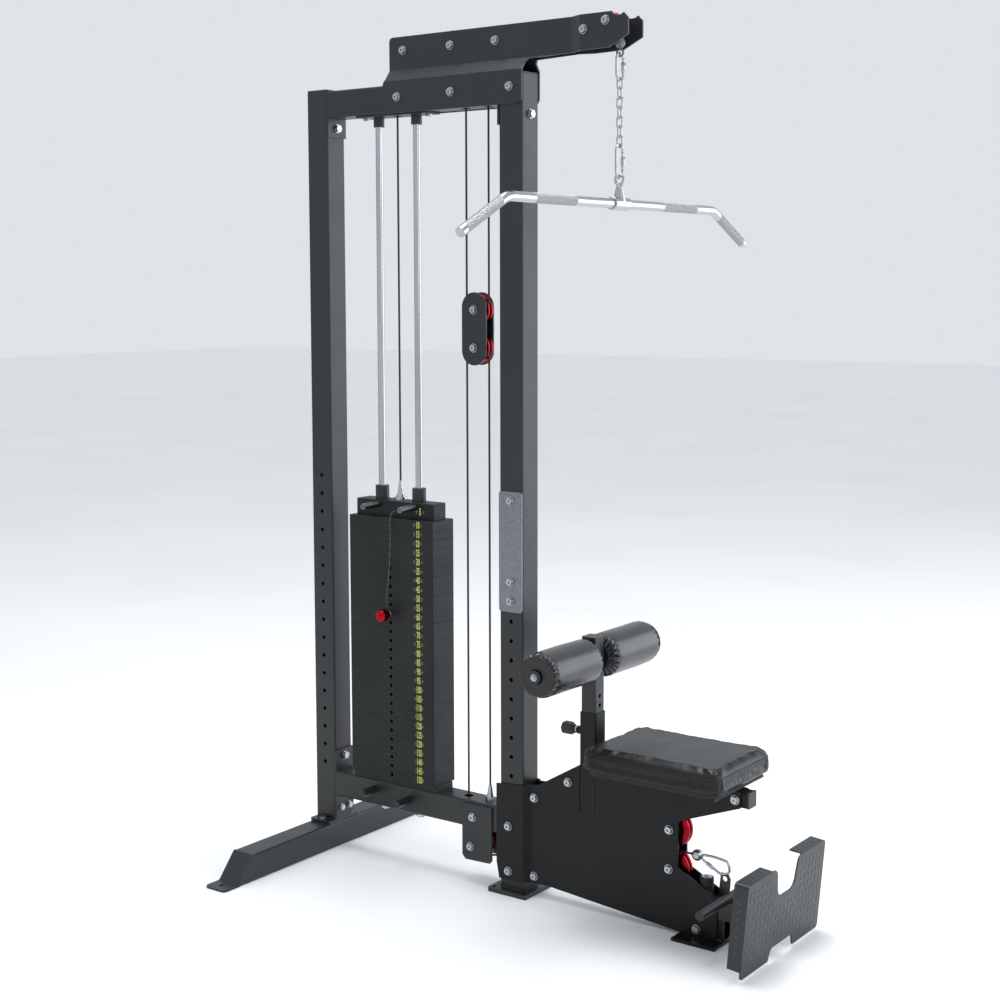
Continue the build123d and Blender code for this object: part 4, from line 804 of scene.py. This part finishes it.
def number_mesh(text, size, place):
    """The outline of a narrow number, facing -X, as vertices and faces."""
    data = bpy.data.curves.new("number", "FONT")
    data.body = text
    data.size = size
    data.align_x = "CENTER"
    data.align_y = "CENTER"
    data.offset = size * 0.03
    data.extrude = 0.0001
    data.resolution_u = 3
    holder = bpy.data.objects.new("number", data)
    bpy.context.scene.collection.objects.link(holder)
    bpy.context.view_layer.update()
    mesh = bpy.data.meshes.new_from_object(holder)
    x, y, z = place
    verts = [Vector((x - v.co.z, y - NARROWING * v.co.x, z + v.co.y)) for v in mesh.vertices]
    faces = [tuple(p.vertices) for p in mesh.polygons]
    bpy.data.objects.remove(holder)
    bpy.data.curves.remove(data)
    bpy.data.meshes.remove(mesh)
    return verts, faces


def make_labels():
    """A printed number on each plate, with a smaller one on each side of it."""
    lifted_low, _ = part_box("weight_plates_lifted")
    shells = {}
    for body in ("frame", "lifted_stack"):
        for size in ("large", "small"):
            shells[body, size] = Shell()
    for index in range(PLATE_COUNT + 1):
        z = STACK_LOW.z + PLATE_PITCH * (index + 0.5)
        station = LABEL_STATION
        if index == PLATE_COUNT:
            z += HEAD_LABEL_RISE
            station = HEAD_LABEL_STATION
        body = "lifted_stack" if z > lifted_low.z else "frame"
        value = 5 * (PLATE_COUNT - index) + 5
        marks = (
            ("large", value, 0.0, LARGE_NUMBER),
            ("small", round(value * 0.45), -SIDE_STEP, SMALL_NUMBER),
            ("small", index + 1, SIDE_STEP, SMALL_NUMBER),
        )
        for size, number, along, height in marks:
            shell = shells[body, size]
            place = (STACK_LOW.x - 0.0002, aft(station + along), z)
            verts, faces = number_mesh(str(number), height, place)
            start = len(shell.verts)
            shell.verts.extend(verts)
            shell.faces.extend(tuple(start + i for i in f) for f in faces)
    for (body, size), shell in shells.items():
        ink = YELLOW if size == "large" else DIM_YELLOW
        shell.build("plate_numbers_%s_%s" % (size, body), ink, None, body, smooth=False)


# ---------------------------------------------------------------- foot plate
TREAD_PITCH = 0.021
FOOT_PLATE_STATION = -0.746
FOOT_PLATE_HALF_X = 0.210
FOOT_PLATE_HEIGHT = 0.235
EDGE_MIDDLE = 0.021       # from the plate's face back to the middle of its bent edge


def add_lozenge(shell, middle, along, across, outward, length=0.0185, width=0.0080, height=0.0008):
    """One raised grain of the tread, as a low lens."""
    ends = []
    for share, lift in ((1.0, -0.05), (0.78, 0.55), (0.40, 0.95)):
        ring = []
        for j in range(14):
            a = math.tau * j / 14
            pinch = abs(math.sin(a)) ** 1.3 * (1 if math.sin(a) > 0 else -1)
            flat = along * (share * length / 2 * math.cos(a)) + across * (share * width / 2 * pinch)
            ring.append(Vector(middle) + flat + outward * (height * lift))
        ends.append(ring)
    shell.rings(ends)


def outside_plate(u, v):
    """Whether a place on the foot plate's face is in its notch or arch, or too near its edge."""
    if abs(u) > 0.196 or v < 0.014 or v > 0.222:
        return True
    notch = abs(u) < 0.062 + max(0.0, (v - 0.15) * 0.16) and v > 0.142
    arch = abs(u) < 0.078 and v < 0.048
    return notch or arch


def make_tread():
    """Raised grains on the foot plate's face, on its two sides and on top of its lobes."""
    tilt = math.radians(5)
    upward = Vector((0, -math.sin(tilt), math.cos(tilt)))
    outward = Vector((0, -math.cos(tilt), -math.sin(tilt)))
    base = Vector((0, aft(FOOT_PLATE_STATION), 0.008))
    right = Vector((1, 0, 0))
    shell = Shell()
    for row in range(14):
        for column in range(-10, 11):
            u = column * TREAD_PITCH
            v = row * TREAD_PITCH
            if outside_plate(u, v):
                continue
            turn = 1 if (row + column) % 2 else -1
            along = (right + turn * upward).normalized()
            across = (right - turn * upward).normalized()
            add_lozenge(shell, base + right * u + upward * v, along, across, outward)
    for side in (-1, 1):
        flank = Vector((side, 0, 0))
        for row in range(3, 10):
            turn = 1 if row % 2 else -1
            along = (turn * upward - outward).normalized()
            across = (-turn * upward - outward).normalized()
            middle_line = base + flank * FOOT_PLATE_HALF_X - outward * EDGE_MIDDLE
            place = middle_line + upward * (row * TREAD_PITCH)
            add_lozenge(shell, place, along, across, flank)
        for column in range(5, 9):
            turn = 1 if column % 2 else -1
            along = (turn * right - outward).normalized()
            across = (-turn * right - outward).normalized()
            top_line = base + upward * FOOT_PLATE_HEIGHT - outward * EDGE_MIDDLE
            place = top_line + right * (side * column * TREAD_PITCH)
            add_lozenge(shell, place, along, across, upward)
    shell.build("foot_tread", TREAD_COAT, "powder_coat", "frame")


# ---------------------------------------------------------------- lat chain
CHAIN_HOOK_R = 0.0036
CHAIN_LINK_R = 0.00265
CHAIN_LINKS = 7
LINK_PITCH = 0.0239
UPPER_HOOK_FOOT_Z = 2.150
LOWER_HOOK_FOOT_Z = 1.908
SWIVEL_Z = 1.872
HOOK_SIDE_X = 0.016       # half the width of a snap hook


def make_snap_hook(shell, y, top, bottom):
    """An oblong snap hook with a screwed sleeve on its side."""
    z = (top + bottom) / 2
    loop = stadium((0, y, z), top - bottom, 2 * HOOK_SIDE_X, (1, 0, 0), 12)
    shell.tube(loop, CHAIN_HOOK_R, 14, True)
    sleeve = [(-0.013, 0.0046), (-0.012, 0.0060), (0.012, 0.0060), (0.013, 0.0046)]
    collar = [(-0.002, 0.0040), (-0.0015, 0.0048), (0.0015, 0.0048), (0.002, 0.0040)]
    shell.turned((HOOK_SIDE_X, y, z), (0, 0, 1), sleeve, 6)
    for step in (-0.022, 0.022):
        shell.turned((HOOK_SIDE_X, y, z + step), (0, 0, 1), collar, 14)


def make_chain():
    """Snap hook, seven links, snap hook and the bar's swivel, hung below the stop ball."""
    y = DROP_Y
    shell = Shell()
    _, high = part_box("lat_chain")
    make_snap_hook(shell, y, high.z - 0.004, UPPER_HOOK_FOOT_Z + 0.004)
    first = UPPER_HOOK_FOOT_Z + 0.008 + 0.0001 + 0.0055 - 0.0175
    for index in range(CHAIN_LINKS):
        across = (0, 1, 0) if index % 2 == 0 else (1, 0, 0)
        link = stadium((0, y, first - index * LINK_PITCH), 0.0297, 0.0145, across, 8)
        shell.tube(link, CHAIN_LINK_R, 12, True)
    last = first - (CHAIN_LINKS - 1) * LINK_PITCH
    lower_top = last - 0.0175 + 0.0055 + 0.0001 + 0.008 - 0.004
    make_snap_hook(shell, y, lower_top, LOWER_HOOK_FOOT_Z + 0.004)
    eye_z = LOWER_HOOK_FOOT_Z + 0.0001
    shell.tube(arc((0, y, eye_z), 0.012, 0, 352, 44, (0, 1, 0), (0, 0, 1)), 0.0038, 14, True)
    shank = [
        (0, 0.0057), (0.012, 0.0057), (0.013, 0.0090), (0.019, 0.0090), (0.021, 0.0062),
        (eye_z - 0.011 - SWIVEL_Z, 0.0050),
    ]
    shell.turned((0, y, SWIVEL_Z), (0, 0, 1), shank, 28)
    chain = shell.build("lat_chain_links", ZINC, "zinc", "lat_end")
    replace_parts(chain, "lat_chain")


ROW_BALL_R = 0.015


def make_row_hook():
    """The row cable's stop ball and the snap hook that a handle clips to."""
    z = middle("row_cable_out").z
    ball_y = aft(-0.514)
    ball = Shell()
    sphere = []
    for degrees in range(6, 175, 8):
        a = math.radians(degrees)
        sphere.append((ROW_BALL_R - ROW_BALL_R * math.cos(a), ROW_BALL_R * math.sin(a)))
    ferrule = [(-0.002, 0.0065), (0.0012, 0.0060), (0.0014, 0.0035)]
    ball.turned((0, ball_y - ROW_BALL_R, z), (0, 1, 0), sphere, 40)
    ball.turned((0, ball_y + 0.0135, z), (0, 1, 0), ferrule, 28)
    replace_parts(ball.build("row_stop_ball", ZINC, "zinc", "row_end"), "row_end")
    hook = Shell()
    path = (
        (-0.560, 0.2133), (-0.534, 0.2128), (-0.5275, 0.2108), (-0.5265, 0.2060),
        (-0.5315, 0.1985), (-0.545, 0.1915), (-0.560, 0.1835), (-0.571, 0.1770),
        (-0.5795, 0.1735), (-0.590, 0.1748), (-0.600, 0.1785), (-0.6045, 0.1845),
        (-0.6035, 0.1960), (-0.6010, 0.2040), (-0.5965, 0.2085), (-0.586, 0.2105),
    )
    hook.tube([(0, aft(s), h) for s, h in path], 0.0034, 14, closed=True)
    sleeve = [(0.0, 0.0042), (0.001, 0.0050), (0.020, 0.0050), (0.021, 0.0042)]
    hook.turned((0, aft(-0.541), 0.1937), Vector((0, -0.86, -0.50)), sleeve, 16)
    hook.build("row_snap_hook", ZINC, "zinc", "row_end")


# ---------------------------------------------------------------- small fittings
POP_KNOB_STATION = -0.145


def make_pop_pin():
    """The seat rail's spring pin: a lobed knob on a stem with a lock nut."""
    low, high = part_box("pop_pin")
    z = middle("pop_pin").z
    knob = Shell()
    length = high.y - aft(POP_KNOB_STATION)
    profile = [
        (0.0, 0.0100), (0.001, 0.0120), (0.006, 0.0130), (0.009, 0.0165), (0.014, 0.0178),
        (length - 0.006, 0.0178), (length - 0.002, 0.0160), (length, 0.0120),
        (length + 0.0002, 0.0050),
    ]
    knob.turned((0, aft(POP_KNOB_STATION), z), (0, 1, 0), profile, 70, lobes=7, depth=0.13)
    knob_piece = knob.build("pop_pin_knob", PLASTIC, "plastic", "pop_pin")
    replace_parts(knob_piece, "pop_pin")
    stem = Shell()
    reach = aft(POP_KNOB_STATION - 0.0005) - low.y
    shaft = [(0, 0.0035), (0.002, 0.0052), (0.020, 0.0052), (reach, 0.0062)]
    nut = [(0, 0.0085), (0.0006, 0.0095), (0.0040, 0.0095), (0.0046, 0.0085)]
    stem.turned((0, low.y, z), (0, 1, 0), shaft, 28)
    stem.turned((0, aft(POP_KNOB_STATION - 0.0055), z), (0, 1, 0), nut, 6)
    stem.build("pop_pin_stem", ZINC, "zinc", "pop_pin")


def make_bumper_ring():
    low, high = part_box("row_bumper")
    y = (low.y + high.y) / 2
    ring = Shell()
    washer = [
        (0, 0.0135), (0.0012, 0.0135), (0.0018, 0.0125), (0.0018, 0.0068), (0.0006, 0.0060),
    ]
    head = [(0, 0.0062), (0.0030, 0.0060), (0.0040, 0.0050)]
    ring.turned((0, y, high.z - 0.0006), (0, 0, 1), washer, 40)
    ring.turned((0, y, high.z), (0, 0, 1), head, 6)
    ring.build("bumper_washer", ZINC, "zinc", "frame")


SQUARE = ((-1, -1), (1, -1), (1, 1), (-1, 1))


def weld(shell, start, end, radius=0.0028):
    """A weld bead: a run of overlapping ripples."""
    start = Vector(start)
    end = Vector(end)
    count = max(4, int((end - start).length / 0.0012))
    points = [start.lerp(end, i / count) for i in range(count + 1)]

    def bead(share):
        ripple = 1 + 0.16 * math.cos(share * count * 1.6)
        return radius * ripple * (0.55 if share in (0, 1) else 1)

    shell.tube(points, bead, 10)


def weld_square(shell, x, y, z, half):
    """A bead along each side of a square post's foot."""
    corners = [(x + a * half, y + b * half, z) for a, b in SQUARE]
    for a, b in zip(corners, corners[1:] + corners[:1]):
        trim = (Vector(b) - Vector(a)).normalized() * 0.005
        weld(shell, Vector(a) + trim, Vector(b) - trim)


def make_welds():
    shell = Shell()
    weld_square(shell, 0, aft(0.0375), 0.0128, 0.0385)
    rail_low, rail_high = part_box("seat_rail")
    y = rail_high.y + 0.0005
    for x in (-0.0205, 0.0205):
        weld(shell, (x, y, rail_low.z + 0.004), (x, y, 0.398), 0.002)
    stub_z = 0.0088
    for x in (-0.0212, 0.0212):
        weld(shell, (x, aft(-0.598), stub_z), (x, aft(-0.492), stub_z), 0.0024)
    weld(shell, (-0.019, aft(-0.6012), stub_z), (0.019, aft(-0.6012), stub_z), 0.0024)
    shell.build("weld_beads", FRAME_COAT, "powder_coat", "frame")


# ---------------------------------------------------------------- the scene
FLOOR_HALF = 30
FLOOR_Z = -0.0005


def make_floor():
    verts = [(a * FLOOR_HALF, b * FLOOR_HALF, FLOOR_Z) for a, b in SQUARE]
    floor = piece("floor", verts, [(0, 1, 2, 3)], FLOOR)


make_camera()
make_studio()
finish_nodes()
make_cables()
make_lanyard()
make_seat()
for side in (-1, 1):
    make_roller(side)
make_labels()
make_tread()
make_chain()
make_row_hook()
make_pop_pin()
make_bumper_ring()
make_welds()
make_floor()
